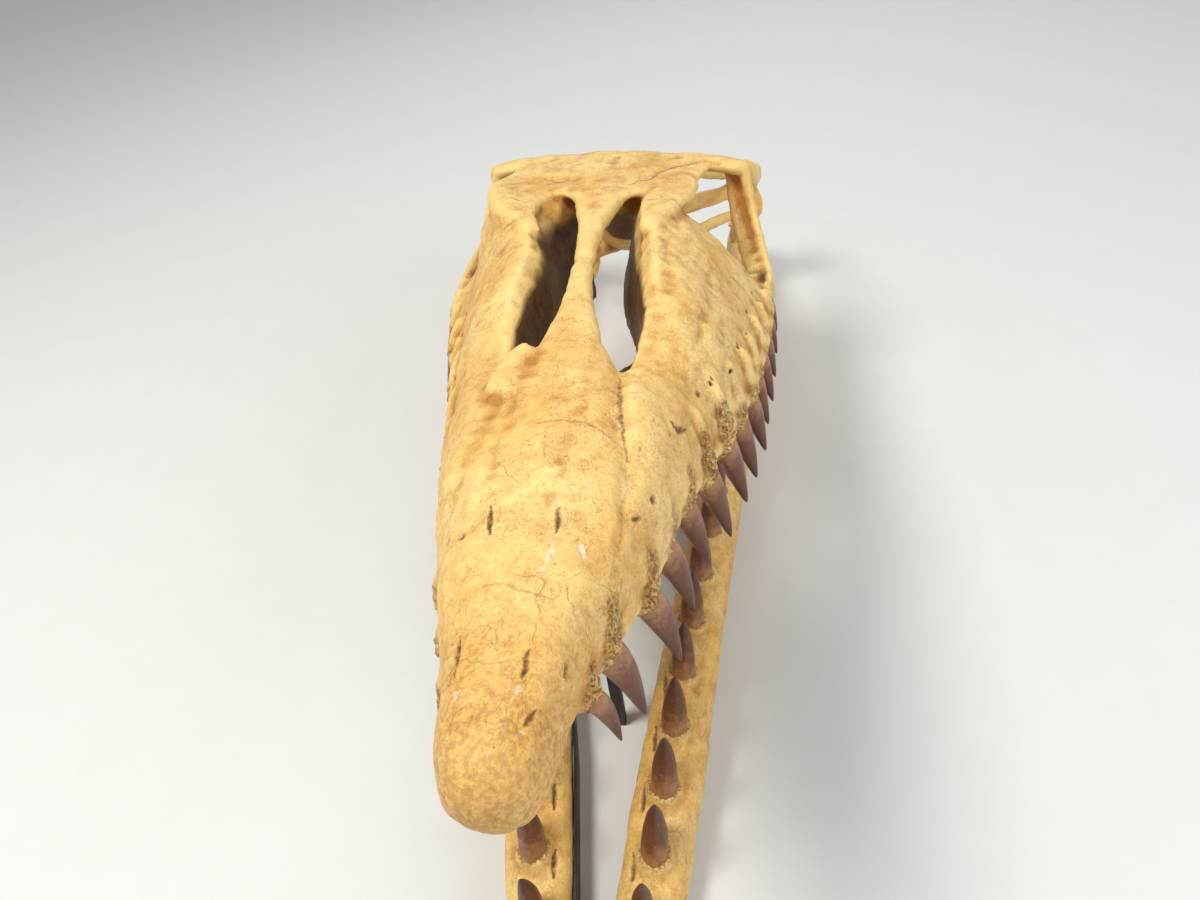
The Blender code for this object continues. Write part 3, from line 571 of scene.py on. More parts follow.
def mark_samples(bm, marks):
    """Points on a skin along each mark, with half width, depth and darkness there; the ends of a long mark taper."""
    noise.seed_set(MARK_SEED)
    skin_tree = BVHTree.FromBMesh(bm)
    samples = []
    for number, (half_width, depth, dark, points) in enumerate(marks):
        points = [Vector(point) * MM for point in points]
        legs = [0.0]
        for a, b in zip(points, points[1:]):
            legs.append(legs[-1] + (b - a).length)
        for leg, (a, b) in enumerate(zip(points, points[1:])):
            steps = max(1, int((b - a).length / (MARK_STEP * MM)))
            for k in range(steps + 1):
                place = a.lerp(b, k / steps)
                wander = noise.noise_vector(place * 110 + Vector((number, 0, 0))) * (MARK_WANDER * MM)
                run = (legs[leg] + (b - a).length * k / steps) / max(legs[-1], 1e-6)
                taper = 0.45 + 0.55 * math.sin(math.pi * min(max(run, 0.0), 1.0)) if legs[-1] > LONG_MARK * MM else 1.0
                taper *= 1 + 0.35 * noise.noise(place * 160 + Vector((0, number, 0)))
                found = skin_tree.find_nearest(place + wander)[0]
                samples.append((found, half_width * taper * MM, depth * taper * MM, dark))
    return samples


def point_tree(points):
    tree = KDTree(max(len(points), 1))
    for index, point in enumerate(points):
        tree.insert(point, index)
    tree.balance()
    return tree


def carve(bm, marks):
    """Cut grooves and pits into a skin, finer near the thin ones; the layers "seam" and "filler" say where."""
    samples = mark_samples(bm, marks)
    tree = point_tree([sample[0] for sample in samples])
    thin = point_tree([sample[0] for sample in samples if sample[1] < THIN_MARK * MM])
    for reach in FINER_WITHIN:
        near = {v for v in bm.verts if (thin.find(v.co)[2] or 0) < reach * MM}
        edges = [e for e in bm.edges if e.verts[0] in near and e.verts[1] in near]
        bmesh.ops.subdivide_edges(bm, edges=edges, cuts=1, use_grid_fill=True)
    bm.normal_update()
    seam = bm.verts.layers.float.new("seam")
    filler = bm.verts.layers.float.new("filler")
    for vert in bm.verts:
        cut = 0.0
        for _, index, distance in tree.find_range(vert.co, MARK_REACH * MM):
            _, half_width, depth, dark = samples[index]
            share = max(0.0, 1 - distance / (half_width * MARK_FADE))
            if share > 0:
                cut = max(cut, depth * share * share * (3 - 2 * share))
                if dark > 1:
                    vert[filler] = max(vert[filler], min(1.0, share * 1.8) * (dark - 1))
                else:
                    vert[seam] = max(vert[seam], min(1.0, share * 1.5) * dark)
        vert.co -= vert.normal * cut


def roughen(bm, relief, roots=(), rough=0.0):
    """Uneven bone: broad swellings, fine lumps, and coarse knobbly bone around the tooth roots."""
    root = bm.verts.layers.float.new("root")
    tree = point_tree([place for place, _ in roots])
    bm.normal_update()
    for vert in bm.verts:
        place = vert.co
        lift = noise.fractal(place * 24, 1.0, 2.0, 3) * 1.2 + noise.fractal(place * 85, 0.9, 2.1, 3) * 0.6
        near = 0.0
        if roots:
            _, index, distance = tree.find(place)
            near = 1 - ease(distance, roots[index][1] * 0.75, roots[index][1] * 1.25)
        vert[root] = near
        lift += near * rough * (noise.fractal(place * 210, 0.8, 2.1, 3) * 1.3 - 0.2)
        vert.co += vert.normal * (lift * relief)


def shaded(bm, middle=None):
    """The same skin with point layers for the bone's colours: "bend" tells ridges from creases, and the layer of
    painted shade is 1 on faces that look inwards and under the snout's roof. The function middle gives the line that
    outer faces look away from."""
    mesh = bpy.data.meshes.new("measure")
    bm.to_mesh(mesh)
    bm.free()
    count = len(mesh.vertices)

    def read(items, key, width, kind=np.float64):
        values = np.empty(len(items) * width, dtype=kind)
        items.foreach_get(key, values)
        return values.reshape(-1, width)

    places = read(mesh.vertices, "co", 3)
    normals = read(mesh.vertices, "normal", 3)
    edges = read(mesh.edges, "vertices", 2, np.int64)
    degree = np.bincount(edges.ravel(), minlength=count).clip(1)

    def spread(values, rounds):
        for _ in range(rounds):
            total = np.zeros(values.shape)
            np.add.at(total, edges[:, 0], values[edges[:, 1]])
            np.add.at(total, edges[:, 1], values[edges[:, 0]])
            values = 0.5 * values + 0.5 * total / (degree[:, None] if values.ndim > 1 else degree)
        return values

    bend = spread(((places - spread(places, 7)) * normals).sum(axis=1) / MM, 2)
    # Painted shade inside the snout: 1 on faces that look towards the middle line and on faces under the snout's roof
    hollow = np.zeros(count)
    if middle is not None:
        normals = spread(normals, 3)
        outward = places - middle(places)
        outward /= np.linalg.norm(outward, axis=1)[:, None] + 1e-9
        x, y, z = (places / MM).T
        hollow = np.clip(-(normals * outward).sum(axis=1) * 2.2 - 0.1, 0, 1)
        hollow *= np.clip((DARK_END[0] - y) / DARK_END[1], 0, 1) * np.clip((DARK_TOP[0] - z) / DARK_TOP[1], 0, 1)
        roof = np.interp(y, *zip(*SNOUT_ROOF))
        deep = np.clip((roof - z) / 8, 0, 1) * np.clip((z - 10) / 10, 0, 1)
        deep *= (np.abs(x + 8) < 72) & (y > 400) & (y < 1000) & (normals[:, 2] < 0.9)
        hollow = spread(np.maximum(hollow, deep * ((np.abs(x + 8) < 44) | (y > 740))), 3)
    for name, values in (("bend", bend), ("hollow", hollow)):
        mesh.attributes.new(name, "FLOAT", "POINT").data.foreach_set("value", values.astype(np.float32))
    bm = bmesh.new()
    bm.from_mesh(mesh)
    bpy.data.meshes.remove(mesh)
    return bm


def piece(name, bm, place, material, nodes):
    """A finished piece: its place goes into its mesh, held in the CAD's box, and it stands for the named CAD nodes."""
    bm.transform(place)
    for vert in bm.verts:
        vert.co = [min(max(v, low), high) for v, low, high in zip(vert.co, *CAD_BOX)]
    made = new_object(name, bm)
    made.data.shade_smooth()
    made.data.materials.append(material)
    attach(made, "root")
    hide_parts(*nodes)
    return made


# Materials

def add(tree, kind, links=None, stops=(), output=0, **values):
    """One shader node with its settings; links go from an output, or a value, into a named or numbered input, and
    stops are the places and the greys or colours of a ramp."""
    node = tree.nodes.new("ShaderNode" + kind)
    for key, value in values.items():
        setattr(node, key, value)
    for key, value in (links or {}).items():
        if isinstance(value, bpy.types.NodeSocket):
            tree.links.new(value, node.inputs[key])
        else:
            node.inputs[key].default_value = value
    if stops:
        elements = node.color_ramp.elements
        while len(elements) < len(stops):
            elements.new(0.5)
        for element, (place, value) in zip(elements, stops):
            element.position = place
            element.color = (value, value, value, 1) if isinstance(value, (int, float)) else value
    return node.outputs[output]


def patterns(tree, *rows):
    """Patterns by name: what each reads, the size of its largest spots in millimetres, detail, roughness, twist, and
    the stops of its ramp, if it has one."""
    made = {}
    for name, where, size, detail, rough, twist, *stops in rows:
        made[name] = add(tree, "TexNoise", {
            "Vector": where, "Scale": 1 / (size * MM), "Detail": detail, "Roughness": rough, "Distortion": twist})
        if stops:
            made[name] = add(tree, "ValToRGB", {0: made[name]}, stops)
    return made


def times(tree, *shares):
    """Shares multiplied together."""
    return reduce(lambda a, b: add(tree, "Math", {0: a, 1: b}, operation="MULTIPLY"), shares)


def layered(tree, base, *rows):
    """Colours laid over a base one after the other: a colour, and the shares that say how much of it shows."""
    for over, *shares in rows:
        base = add(tree, "Mix", {0: times(tree, *shares), 6: base, 7: over}, output=2, data_type="RGBA")
    return base


def finish(tree, shader, base, roughness, depth_mm=0, strength=0.0, heights=()):
    """Link colour and roughness to the shader, and a bump of the given depth from heights and their amounts."""
    tree.links.new(base, shader.inputs["Base Color"])
    if isinstance(roughness, float):
        shader.inputs["Roughness"].default_value = roughness
    else:
        tree.links.new(roughness, shader.inputs["Roughness"])
    height = 0.0
    for value, amount in heights:
        height = add(tree, "Math", {0: value, 1: amount, 2: height}, operation="MULTIPLY_ADD")
    if heights:
        bump = add(tree, "Bump", {"Height": height, "Distance": depth_mm * MM, "Strength": strength})
        tree.links.new(bump, shader.inputs["Normal"])


def stuff(name, maker, set_):
    """The material of that name, made once."""
    made = bpy.data.materials.get(name)
    if made is None:
        made = bpy.data.materials.new(name)
        made.use_nodes = True
        tree = made.node_tree
        maker(tree, tree.nodes["Principled BSDF"], add(tree, "TexCoord", output="Object"), set_)
    return made


def point_layer(tree, name):
    return add(tree, "Attribute", output="Fac", attribute_name=name, attribute_type="GEOMETRY")


def fossil_bone(tree, shader, where, set_):
    """Mineralised bone: cream to ochre with rusty patches, grained and finely cracked, with small fillings; painted
    shade darkens its creases and the inside of the snout, and a painted highlight lightens its ridges.
    """
    wander = add(tree, "TexNoise", {"Vector": where, "Scale": 60.0, "Detail": 3.0}, output="Color")
    wander = add(tree, "VectorMath", {0: wander, 1: (0.014, 0.014, 0.014)}, operation="MULTIPLY")
    bent = add(tree, "VectorMath", {0: where, 1: wander}, operation="ADD")
    long_way, dashes, short_way = (
        add(tree, "VectorMath", {0: bent, 1: scale}, operation="MULTIPLY")
        for scale in ((1.0, 0.22, 0.8), (900.0, 240.0, 700.0), (240.0, 60.0, 160.0)))
    metre = 1 / MM
    mask = patterns(
        tree,
        ("broad", where, 110, 4, 0.55, 0.5, (0.38, 0.0), (0.60, 1.0)),
        ("patch", where, 30, 6, 0.65, 0.8, (0.46, 0.0), (0.66, 1.0)),
        ("lengthwise", long_way, 9, 5, 0.68, 0.0, (0.36, 0.0), (0.66, 1.0)),
        ("fine", where, 4, 5, 0.72, 0.0),
        ("dust", where, 1.3, 3, 0.75, 0.0, (0.36, 0.40), (0.50, 0.0)),
        ("dash", dashes, metre, 2, 0.5, 0.0, (0.30, 0.75), (0.40, 0.0)),
        ("dash_area", where, 45, 4, 0.6, 0.0, (0.42, 0.25), (0.62, 1.0)),
        ("mottle", where, 8, 6, 0.78, 0.4, (0.42, 0.0), (0.56, 1.0)),
        ("grit", where, 2.6, 4, 0.8, 0.0, (0.50, 0.0), (0.62, 1.0)),
        ("speck_area", where, 18, 3, 0.6, 0.0, (0.52, 0.0), (0.62, 1.0)),
        ("wide_area", where, 60, 3, 0.6, 0.0, (0.50, 0.0), (0.62, 0.8)),
        ("narrow_area", where, 30, 4, 0.6, 0.0, (0.50, 0.0), (0.64, 0.5)),
        ("streak", short_way, metre, 3, 0.5, 0.0, (0.70, 0.0), (0.76, 0.8)),
        ("streak_area", where, 70, 2, 0.5, 0.0, (0.50, 0.0), (0.60, 1.0)),
        ("seam_grain", where, 3, 4, 0.7, 0.0, (0.36, 0.35), (0.56, 1.0)),
        ("skin_grain", where, 1.5, 3, 0.7, 0.0))
    fine, patch = mask["fine"], mask["patch"]
    bend, root, hollow, seam, filler = (
        point_layer(tree, name) for name in ("bend", "root", "hollow", "seam", "filler"))
    from_tip = add(tree, "VectorMath", {0: where, 1: (0.0, -0.652, 0.470)}, output=1, operation="DISTANCE")
    dash = times(tree, mask["dash"], mask["dash_area"])

    # Specks are the middles of small cells, and cracks are the edges between cells of 52 and 7 millimetres
    speck = add(tree, "TexVoronoi", {"Vector": bent, "Scale": 170.0, "Randomness": 1.0}, output="Distance")
    wide, narrow = (
        add(tree, "TexVoronoi", {"Vector": bent, "Scale": 1 / (size * MM)}, feature="DISTANCE_TO_EDGE")
        for size in (52, 7))
    for name, source, stops in (
            ("rusty_grain", fine, ((0.40, 0.30), (0.56, 0.0))), ("stain_grain", fine, ((0.42, 1.0), (0.60, 0.15))),
            ("ragged", fine, ((0.38, 0.2), (0.55, 1.0))), ("roughness", fine, ((0.35, 0.62), (0.62, 0.42))),
            # painted shade in creases and painted highlight on ridges, from how the skin bends
            ("crease_shade", times(tree, bend, -1.0), ((0.03, 0.0), (0.60, 0.80))),
            ("ridge_highlight", bend, ((0.05, 0.0), (0.7, 0.6))),
            ("stain", from_tip, ((0.05, 1.0), (0.14, 0.0))), ("speck", speck, ((0.08, 1.0), (0.17, 0.0))),
            ("wide", wide, ((0.0, 1.0), (0.009, 0.0))), ("narrow", narrow, ((0.0, 1.0), (0.05, 0.0))),
            # painted shade inside the snout, with lighter brown patches
            ("hollow", add(tree, "Math", {0: hollow, 1: times(tree, patch, 0.15)}, operation="ADD"),
             ((0.20, 0.0), (0.80, 0.94))),
            ("seam", times(tree, seam, mask["seam_grain"]), ((0.10, 0.0), (0.95, 0.95)))):
        mask[name] = add(tree, "ValToRGB", {0: source}, stops)
    speck = times(tree, mask["speck"], mask["speck_area"])
    lines, filled = (
        add(tree, "Math", {0: times(tree, *one), 1: times(tree, *other)}, operation="MAXIMUM")
        for one, other in (
            ((mask["wide"], mask["wide_area"]), (mask["narrow"], mask["narrow_area"])),
            ((filler, mask["ragged"]), (mask["streak"], mask["streak_area"]))))

    base = layered(
        tree, set_.pale,
        # Blotches, lengthwise streaks and grain
        (set_.ochre, mask["broad"]), (set_.rust_and_crease_shade, patch, 0.40), (set_.pale, mask["lengthwise"], 0.42),
        (set_.rust_and_crease_shade, mask["rusty_grain"]), (set_.rust_and_crease_shade, mask["dust"]), (set_.rust_and_crease_shade, dash),
        # Creases get a rust-coloured painted shade, ridges a pale painted highlight, and the snout's front is stained
        # darker than its top
        (set_.rust_and_crease_shade, mask["crease_shade"]), (set_.pale, mask["ridge_highlight"]),
        (layered(tree, set_.ochre, (set_.rust_and_crease_shade, mask["stain_grain"])), mask["stain"], 0.62),
        # Rough, pitted bone that holds the teeth
        (set_.rust_and_crease_shade, root, mask["mottle"], 0.70), (set_.dark, root, mask["grit"], 0.55),
        # Specks, hair cracks, the painted shade inside the snout, carved marks and white filler
        (set_.dark, speck, 0.55), (set_.dark, lines, 0.55),
        (layered(tree, set_.dark, (set_.inside, patch)), mask["hollow"]),
        (set_.dark, mask["seam"]), (set_.filler, filled))
    shader.inputs["Specular IOR Level"].default_value = 0.45
    finish(tree, shader, base, mask["roughness"], 1.1, 0.9, (
        (fine, 0.8), (mask["skin_grain"], 0.3), (mask["lengthwise"], 0.35), (dash, -0.25), (lines, -0.5), (speck, -0.3),
        (times(tree, root, mask["grit"]), -1.2)))


def tooth_enamel(tree, shader, where, set_):
    """Fossil enamel: brown, satin, finely ridged along the crown, lighter and speckled by the bone."""
    along = point_layer(tree, "along")
    mask = patterns(
        tree, ("mottle", where, 11, 5, 0.65, 0.4), ("pale", where, 5, 4, 0.7, 0.0, (0.60, 0.0), (0.74, 0.55)),
        ("fleck", where, 2.2, 3, 0.7, 0.0, (0.62, 0.0), (0.70, 1.0)), ("lumps", where, 3, 3, 0.7, 0.0))
    low = add(tree, "ValToRGB", {0: along}, ((0.05, 0.9), (0.45, 0.0)))
    rise = add(tree, "Math", {0: mask["mottle"], 1: 0.5}, operation="SUBTRACT")
    rise = add(tree, "Math", {0: rise, 1: 0.9, 2: along}, operation="MULTIPLY_ADD")
    body = add(tree, "ValToRGB", {0: rise}, ((0.02, set_.foot), (0.34, set_.tip), (0.9, colour("502E18"))))
    body = layered(tree, body, (colour("A8825C"), mask["pale"]), (colour("C9A66C"), mask["fleck"], low))
    stretched = add(tree, "Mapping", {"Vector": where, "Scale": (1.0, 1.0, 0.10)})
    ridges = add(tree, "TexNoise", {"Vector": stretched, "Scale": 620.0, "Detail": 2.0})
    shine = add(tree, "ValToRGB", {0: mask["mottle"]}, ((0.3, set_.shine - 0.06), (0.7, set_.shine + 0.14)))
    finish(tree, shader, body, shine, 0.5, 0.6, ((ridges, 0.6), (mask["lumps"], 0.5)))


def painted_steel(tree, shader, where, set_):
    """Matt black paint on steel: a little uneven, with its grain too fine to show as colour."""
    mask = patterns(
        tree, ("tone", where, 18, 5, 0.7, 0.0, (0.35, set_.paint), (0.75, colour("1E1E22"))),
        ("shine", where, 9, 4, 0.6, 0.0, (0.3, 0.42), (0.7, 0.62)), ("grain", where, 1.2, 2, 0.6, 0.0))
    finish(tree, shader, mask["tone"], mask["shine"], 0.1, 0.5, ((mask["grain"], 1.0),))


def pale_floor(tree, shader, where, set_):
    """Matt white paint with broad, faint clouds."""
    mask = patterns(tree, ("clouds", where, 60, 6, 0.7, 0.0, (0.3, 0.0), (0.7, 0.35)))
    finish(tree, shader, layered(tree, set_.floor, (colour("D1D3D1"), mask["clouds"])), 0.9)


# Pieces

def mirrored(point, side):
    return Vector((point[0] * side, point[1], point[2]))


def upper_roots():
    """Middle and reach of the rough bone around each upper tooth; it climbs higher above the front ones."""
    roots = []
    for side in SIDES.values():
        for number, (_, x, y, z, size) in enumerate(UPPER_TEETH):
            start = mirrored((x, y, z), side)
            lean = mirrored(UPPER_TOOTH_LEAN, side) * size * PEDICEL_SHARE
            column = start + mirrored(ROOT_COLUMN[1], side) * size
            spots = [(start + lean, 19), (start, 18)]
            if side > 0 and number < HIGH_ROOTS:
                spots += [(start.lerp(column, 0.5), 18), (column, 14)]
            roots += [(crushed(point) * MM, reach * size * MM) for point, reach in spots]
    return roots


def cranium_forms():
    bm = bmesh.new()
    for rows in (SNOUT, NARIAL_BAR, FRONTAL, PARIETAL, BRAINCASE, CONDYLE, ORBIT_WALL_FRONT):
        midline(bm, rows)
    for side in SIDES.values():
        for rows in (MAXILLA, NASAL_WALL, ORBIT_WALL):
            plate(bm, rows, side)
        for rows in (MARGIN, PREFRONTAL, POSTORBITAL, SQUAMOSAL, PARIETAL_RAMUS, PAROCCIPITAL, VOMER, PALATINE,
                     PTERYGOID, ECTOPTERYGOID):
            bar(bm, rows, side)
        bar(bm, JUGAL, side, up=(1, 0, 0))
        bar(bm, JUGAL_FLANGE, side, up=(0, 1, 0))
        bar(bm, EPIPTERYGOID, side, up=(0, 1, 0))
        bar(bm, BASIPTERYGOID, side)
        for name, x, y, z, size in UPPER_TEETH:
            lean = Vector(UPPER_TOOTH_LEAN) * size * PEDICEL_SHARE
            start = Vector((x, y, z))
            places = [start + Vector(step) * size for step in ROOT_COLUMN] + [start + lean]
            rows = [(*place, radius * size, radius * size) for place, radius in zip(places, PEDICEL_RADII)]
            bar(bm, rows, side, up=(0, 1, 0), steps=3)
        for k in range(PTERYGOID_TEETH):
            root = Vector(PTERYGOID_TOOTH_FIRST) + Vector(PTERYGOID_TOOTH_STEP) * k
            rows = [(root.x + x, root.y + y, root.z + z, w, h) for x, y, z, w, h in PTERYGOID_TOOTH]
            bar(bm, rows, side, up=(0, 1, 0), steps=3)
    bar(bm, NARIS_SILL, SIDES["right"])
    for vert in bm.verts:
        vert.co = crushed(vert.co / MM) * MM
    return bm


def cranium_marks():
    """The marks seen in front, and a row of nerve holes along each upper jaw."""
    marks = list(MARKS)
    for side in SIDES.values():
        for y, height, half_width, depth in UPPER_NERVE_HOLES:
            row = min(catmull(MAXILLA, 8), key=lambda r: abs((r[1] + r[4]) / 2 - y))
            low, high = Vector(row[3:6]), Vector(row[0:3])
            point = low + (high - low) * (height / (high - low).length)
            point = crushed(mirrored((point.x + row[7] + 6, point.y, point.z), side))
            marks.append((half_width, depth, 1.0, [tuple(point), (point.x, point.y + 5, point.z + 1)]))
    return marks


def snout_middle(places):
    """The middle line that the outer faces of the cranium look away from."""
    middle = places.copy()
    middle[:, 0] = 0
    middle[:, 2] = np.interp(places[:, 1] / MM, *zip(*SNOUT_AXIS)) * MM
    return middle


def jaw_forms(side):
    bm = bmesh.new()
    rings = []
    for m, x, half_width, top, bottom in catmull(JAW, 6):
        middle, half_height = (top + bottom) / 2, (top - bottom) / 2
        rings.append([(side * (x + px * half_width), -m, middle + py * half_height) for px, py in oval(28, 2.4)])
    skin(bm, rings)
    bar(bm, [(x, -m, z, w, h) for m, x, z, w, h in GLENOID_LIP], side)
    for k in range(LOWER_TOOTH_COUNT):
        start, foot, _ = lower_tooth(k, 1)
        places = (start + (start - foot) * 0.8, start, foot)
        rows = [(*place, radius * lower_size(k), radius * lower_size(k))
                for place, radius in zip(places, LOWER_PEDICEL_RADII)]
        bar(bm, rows, side, up=(0, 1, 0), steps=3)
    return bm


def jaw_marks(side):
    """Nerve holes outside, the long groove inside, slots beside the teeth, and a crack across a lower jaw."""
    marks = []
    for m, z, half_width, depth in LOWER_NERVE_HOLES:
        row = min(catmull(JAW, 8), key=lambda r: abs(r[0] - m))
        x = side * (row[1] + row[2] + 3)
        marks.append((half_width, depth, 1.0, [(x, -m, z), (x, -m + 4, z - 1)]))
    start, end, level = INNER_GROOVE
    marks.append((4.5, 3.2, 0.7, [
        (side * (x - half_width - 3), -m, top + (bottom - top) * level)
        for m, x, half_width, top, bottom in catmull(JAW, 2) if start < m < end]))
    for k in range(LOWER_TOOTH_COUNT - 2):
        m = LOWER_TOOTH_FIRST - LOWER_TOOTH_PITCH * k + 4
        x = side * (lower_row_x(m) - 21)
        marks.append((2.4, 3.4, 0.85, [(x, -m - 15, -3), (x, -m, -2), (x, -m + 11, -3)]))
    marks.append((2.0, 1.6, 1.0, [(side * x, y, z) for x, y, z in JAW_CRACK]))
    return marks


def crown(bm, foot, tip, radius, sides, seed):
    """A pointed, gently hooked crown with a keel before and behind; the layer "along" is 1 at its tip."""
    along_layer = bm.verts.layers.float.new("along")
    along = tip - foot
    across = along.cross(Vector((0, 1, 0))).normalized()
    front = across.cross(along).normalized()
    rings = []
    for share, width in catmull(CROWN_PROFILE, 2):
        bent = CROWN_HOOK * along.length * math.sin(math.pi * min(max(share, 0), 1))
        centre = foot + along * share + front * bent
        ring = []
        for px, py in oval(sides, 2):
            keel = 1 + 0.07 * max(0.0, abs(py) - 0.86) / 0.14 * (1 - share * 0.5)
            point = across * px * CROWN_FLATNESS + front * py * keel
            wear = 1 + 0.05 * noise.noise(Vector((px * 1.6, py * 1.6, share * 3.0 + seed)))
            ring.append(centre + point * (radius * width * wear))
        rings.append(ring)
    skin(bm, rings)
    for vert in bm.verts:
        vert[along_layer] = (vert.co / MM - foot).dot(along) / along.length_squared


class SkullOperator:
    bl_options = {"REGISTER", "UNDO"}


class SKULL_OT_cranium(SkullOperator, bpy.types.Operator):
    """Grow the cranium, carve its sutures, nerve holes and cracks, and colour it"""
    bl_idname = "fossil_skull.cranium"
    bl_label = "Cranium"

    def execute(self, context):
        bone = settings().bone
        bm = grown(cranium_forms(), bone.cranium_grid, 7)
        roughen(bm, bone.relief, upper_roots(), 1.0)
        carve(bm, cranium_marks())
        material = stuff("mineralised_bone", fossil_bone, bone)
        piece("cranium_bone", shaded(bm, snout_middle), skull_matrices()[0], material, ["cranium"])
        return {"FINISHED"}


class SKULL_OT_lower_jaws(SkullOperator, bpy.types.Operator):
    """Grow both lower jaws"""
    bl_idname = "fossil_skull.lower_jaws"
    bl_label = "Lower jaws"

    def execute(self, context):
        bone = settings().bone
        material = stuff("mineralised_bone", fossil_bone, bone)
        place = skull_matrices()[1]
        floor = place.inverted()
        for word, side in SIDES.items():
            bm = grown(jaw_forms(side), bone.jaw_grid, 6)
            roots = []
            for k in range(LOWER_TOOTH_COUNT):
                start, foot, _ = lower_tooth(k, side)
                roots += [(start * MM, 17 * lower_size(k) * MM), (foot * MM, 17 * lower_size(k) * MM)]
            roughen(bm, bone.relief * 0.8, roots, 0.8)
            carve(bm, jaw_marks(side))
            for vert in bm.verts:
                world = place @ vert.co
                if world.z < 0:
                    world.z = 0
                    vert.co = floor @ world
            piece("lower_jaw_" + word, shaded(bm), place, material, ["mandible_" + word])
        return {"FINISHED"}


class SKULL_OT_quadrates(SkullOperator, bpy.types.Operator):
    """Grow the two hooked bones between the cranium and the lower jaws"""
    bl_idname = "fossil_skull.quadrates"
    bl_label = "Quadrates"

    def execute(self, context):
        bone = settings().bone
        material = stuff("mineralised_bone", fossil_bone, bone)
        for word, side in SIDES.items():
            bm = bmesh.new()
            for rows in (QUADRATE_SHAFT, QUADRATE_HOOK, QUADRATE_EAR):
                bar(bm, rows, side, up=(0, 1, 0))
            bm = grown(bm, bone.quadrate_grid, 6)
            roughen(bm, bone.relief * 0.5)
            piece(
                "quadrate_bone_" + word, shaded(bm), skull_matrices()[0], material, ["quadrate_" + word])
        return {"FINISHED"}


class SKULL_OT_crowns(SkullOperator, bpy.types.Operator):
    """Make every tooth crown"""
    bl_idname = "fossil_skull.crowns"
    bl_label = "Tooth crowns"

    def execute(self, context):
        set_ = settings().teeth
        material = stuff("fossil_tooth_enamel", tooth_enamel, set_)
        upper, lower = skull_matrices()
        for word, side in SIDES.items():
            crowns = []
            for number, (name, x, y, z, size) in enumerate(UPPER_TEETH):
                start = mirrored((x, y, z), side)
                lean = mirrored(UPPER_TOOTH_LEAN, side) * size
                foot, tip = crushed(start + lean * PEDICEL_SHARE), crushed(start + lean)
                crowns.append((name, foot, tip, CROWN_RADIUS * size, number + side * 20, upper))
            for number in range(LOWER_TOOTH_COUNT):
                _, foot, tip = lower_tooth(number, side)
                name, radius = "dentary_%02d" % (number + 1), LOWER_CROWN_RADIUS * lower_size(number)
                crowns.append((name, foot, tip, radius, number + side * 50, lower))
            for name, foot, tip, radius, seed, place in crowns:
                bm = bmesh.new()
                crown(bm, foot, tip, radius, set_.sides, seed)
                bmesh.ops.recalc_face_normals(bm, faces=bm.faces[:])
                name += "_" + word
                piece("tooth_" + name, bm, place, material, ["crown_" + name])
        return {"FINISHED"}


class SKULL_OT_supports(SkullOperator, bpy.types.Operator):
    """Make the steel straps and paint the post"""
    bl_idname = "fossil_skull.supports"
    bl_label = "Steel supports"

    def execute(self, context):
        set_ = settings().supports
        material = stuff("black_painted_steel", painted_steel, set_)
        for word in SIDES:
            bm = bmesh.new()
            skin(bm, strap_rings(word))
            bmesh.ops.recalc_face_normals(bm, faces=bm.faces[:])
            edges = [e for e in bm.edges if len(e.link_faces) == 2 and e.calc_face_angle() > 1.0]
            bmesh.ops.bevel(bm, geom=edges, offset=set_.edge, segments=2, profile=0.5, affect="EDGES", material=-1)
            made = piece("strap_" + word, bm, skull_matrices()[1], material, ["support_strap_" + word])
            made.data.set_sharp_from_angle(angle=math.radians(40))
        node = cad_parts["support_post"]
        node.data.materials.clear()
        node.data.materials.append(material)
        return {"FINISHED"}


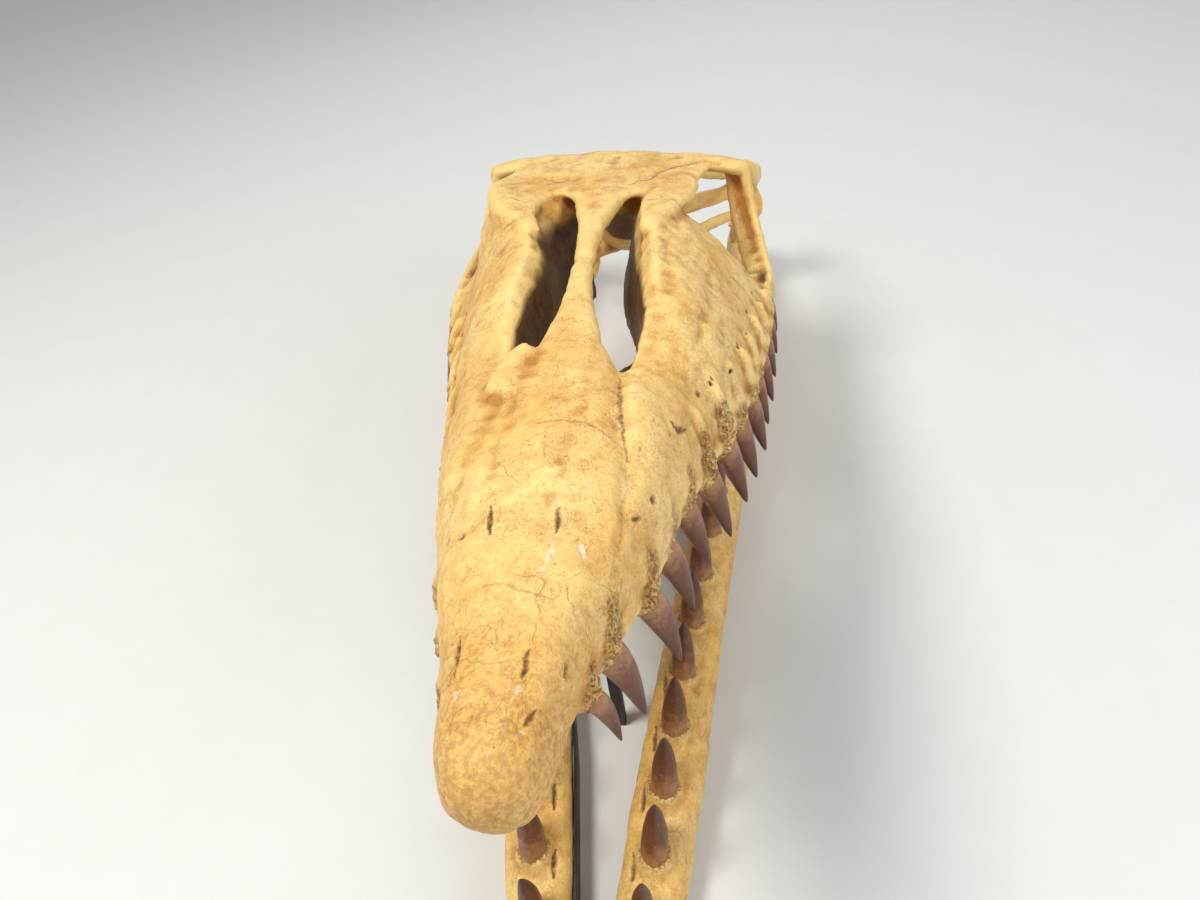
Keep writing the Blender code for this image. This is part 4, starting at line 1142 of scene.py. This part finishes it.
class SKULL_OT_stage(SkullOperator, bpy.types.Operator):
    """Set the pale floor, the lights and the camera"""
    bl_idname = "fossil_skull.stage"
    bl_label = "Stage"

    def execute(self, context):
        bm = bmesh.new()
        level = Matrix.Translation((0, 0, -FLOOR_GAP))
        bmesh.ops.create_grid(bm, x_segments=1, y_segments=1, size=FLOOR_SIZE, matrix=level)
        floor = new_object("floor", bm)
        floor.data.materials.append(stuff("pale_floor", pale_floor, settings().stage))

        world = bpy.data.worlds.new("soft_room")
        world.use_nodes = True
        background = world.node_tree.nodes["Background"]
        background.inputs["Color"].default_value = colour(ROOM_COLOUR)
        background.inputs["Strength"].default_value = ROOM_STRENGTH
        context.scene.world = world
        context.scene.view_settings.view_transform = "Standard"
        for name, place, size, power, tone in LIGHTS:
            light = bpy.data.lights.new(name, "AREA")
            light.shape = "DISK"
            light.size = size
            light.energy = power
            light.color = colour(tone)[:3]
            lamp = bpy.data.objects.new(name, light)
            lamp.location = place
            lamp.rotation_euler = (Vector(LIGHTS_AIM) - Vector(place)).to_track_quat("-Z", "Y").to_euler()
            context.scene.collection.objects.link(lamp)

        place = skull_matrices()[0]
        camera = bpy.data.cameras.new("camera")
        camera.sensor_width = SENSOR
        camera.lens = FOCAL_PIXELS / IMAGE_WIDTH * SENSOR
        camera.clip_start = 0.02
        camera.clip_end = 60
        eye = bpy.data.objects.new("camera", camera)
        axes = Matrix((Vector(CAMERA_RIGHT), -Vector(CAMERA_DOWN), -Vector(CAMERA_VIEW))).transposed()
        turn = (place.to_3x3() @ axes).to_quaternion()
        eye.rotation_mode = "QUATERNION"
        eye.rotation_quaternion = turn
        eye.location = place @ (Vector(CAMERA_PLACE) * MM)
        context.scene.collection.objects.link(eye)
        context.scene.camera = eye
        return {"FINISHED"}


class SKULL_PT_panel(bpy.types.Panel):
    bl_label = "Fossil skull"
    bl_idname = "SKULL_PT_panel"
    bl_space_type = "VIEW_3D"
    bl_region_type = "UI"
    bl_category = "Fossil skull"

    def draw(self, context):
        set_ = context.scene.fossil_skull
        for group in (set_.bone, set_.teeth, set_.supports, set_.stage):
            box = self.layout.box()
            for key in group.bl_rna.properties.keys():
                if key not in {"rna_type", "name"}:
                    box.prop(group, key)
        for operator in OPERATORS:
            self.layout.operator(operator.bl_idname)


GROUPS = (BoneSettings, ToothSettings, SupportSettings, StageSettings, SkullSettings)
OPERATORS = (
    SKULL_OT_stage, SKULL_OT_cranium, SKULL_OT_lower_jaws, SKULL_OT_quadrates, SKULL_OT_crowns, SKULL_OT_supports)


def register():
    for item in GROUPS + OPERATORS + (SKULL_PT_panel,):
        bpy.utils.register_class(item)
    bpy.types.Scene.fossil_skull = PointerProperty(type=SkullSettings)


def unregister():
    del bpy.types.Scene.fossil_skull
    for item in reversed(GROUPS + OPERATORS + (SKULL_PT_panel,)):
        bpy.utils.unregister_class(item)


def main():
    register()
    bpy.ops.fossil_skull.stage()
    bpy.ops.fossil_skull.cranium()
    bpy.ops.fossil_skull.lower_jaws()
    bpy.ops.fossil_skull.quadrates()
    bpy.ops.fossil_skull.crowns()
    bpy.ops.fossil_skull.supports()


if __name__ == "__main__":
    main()
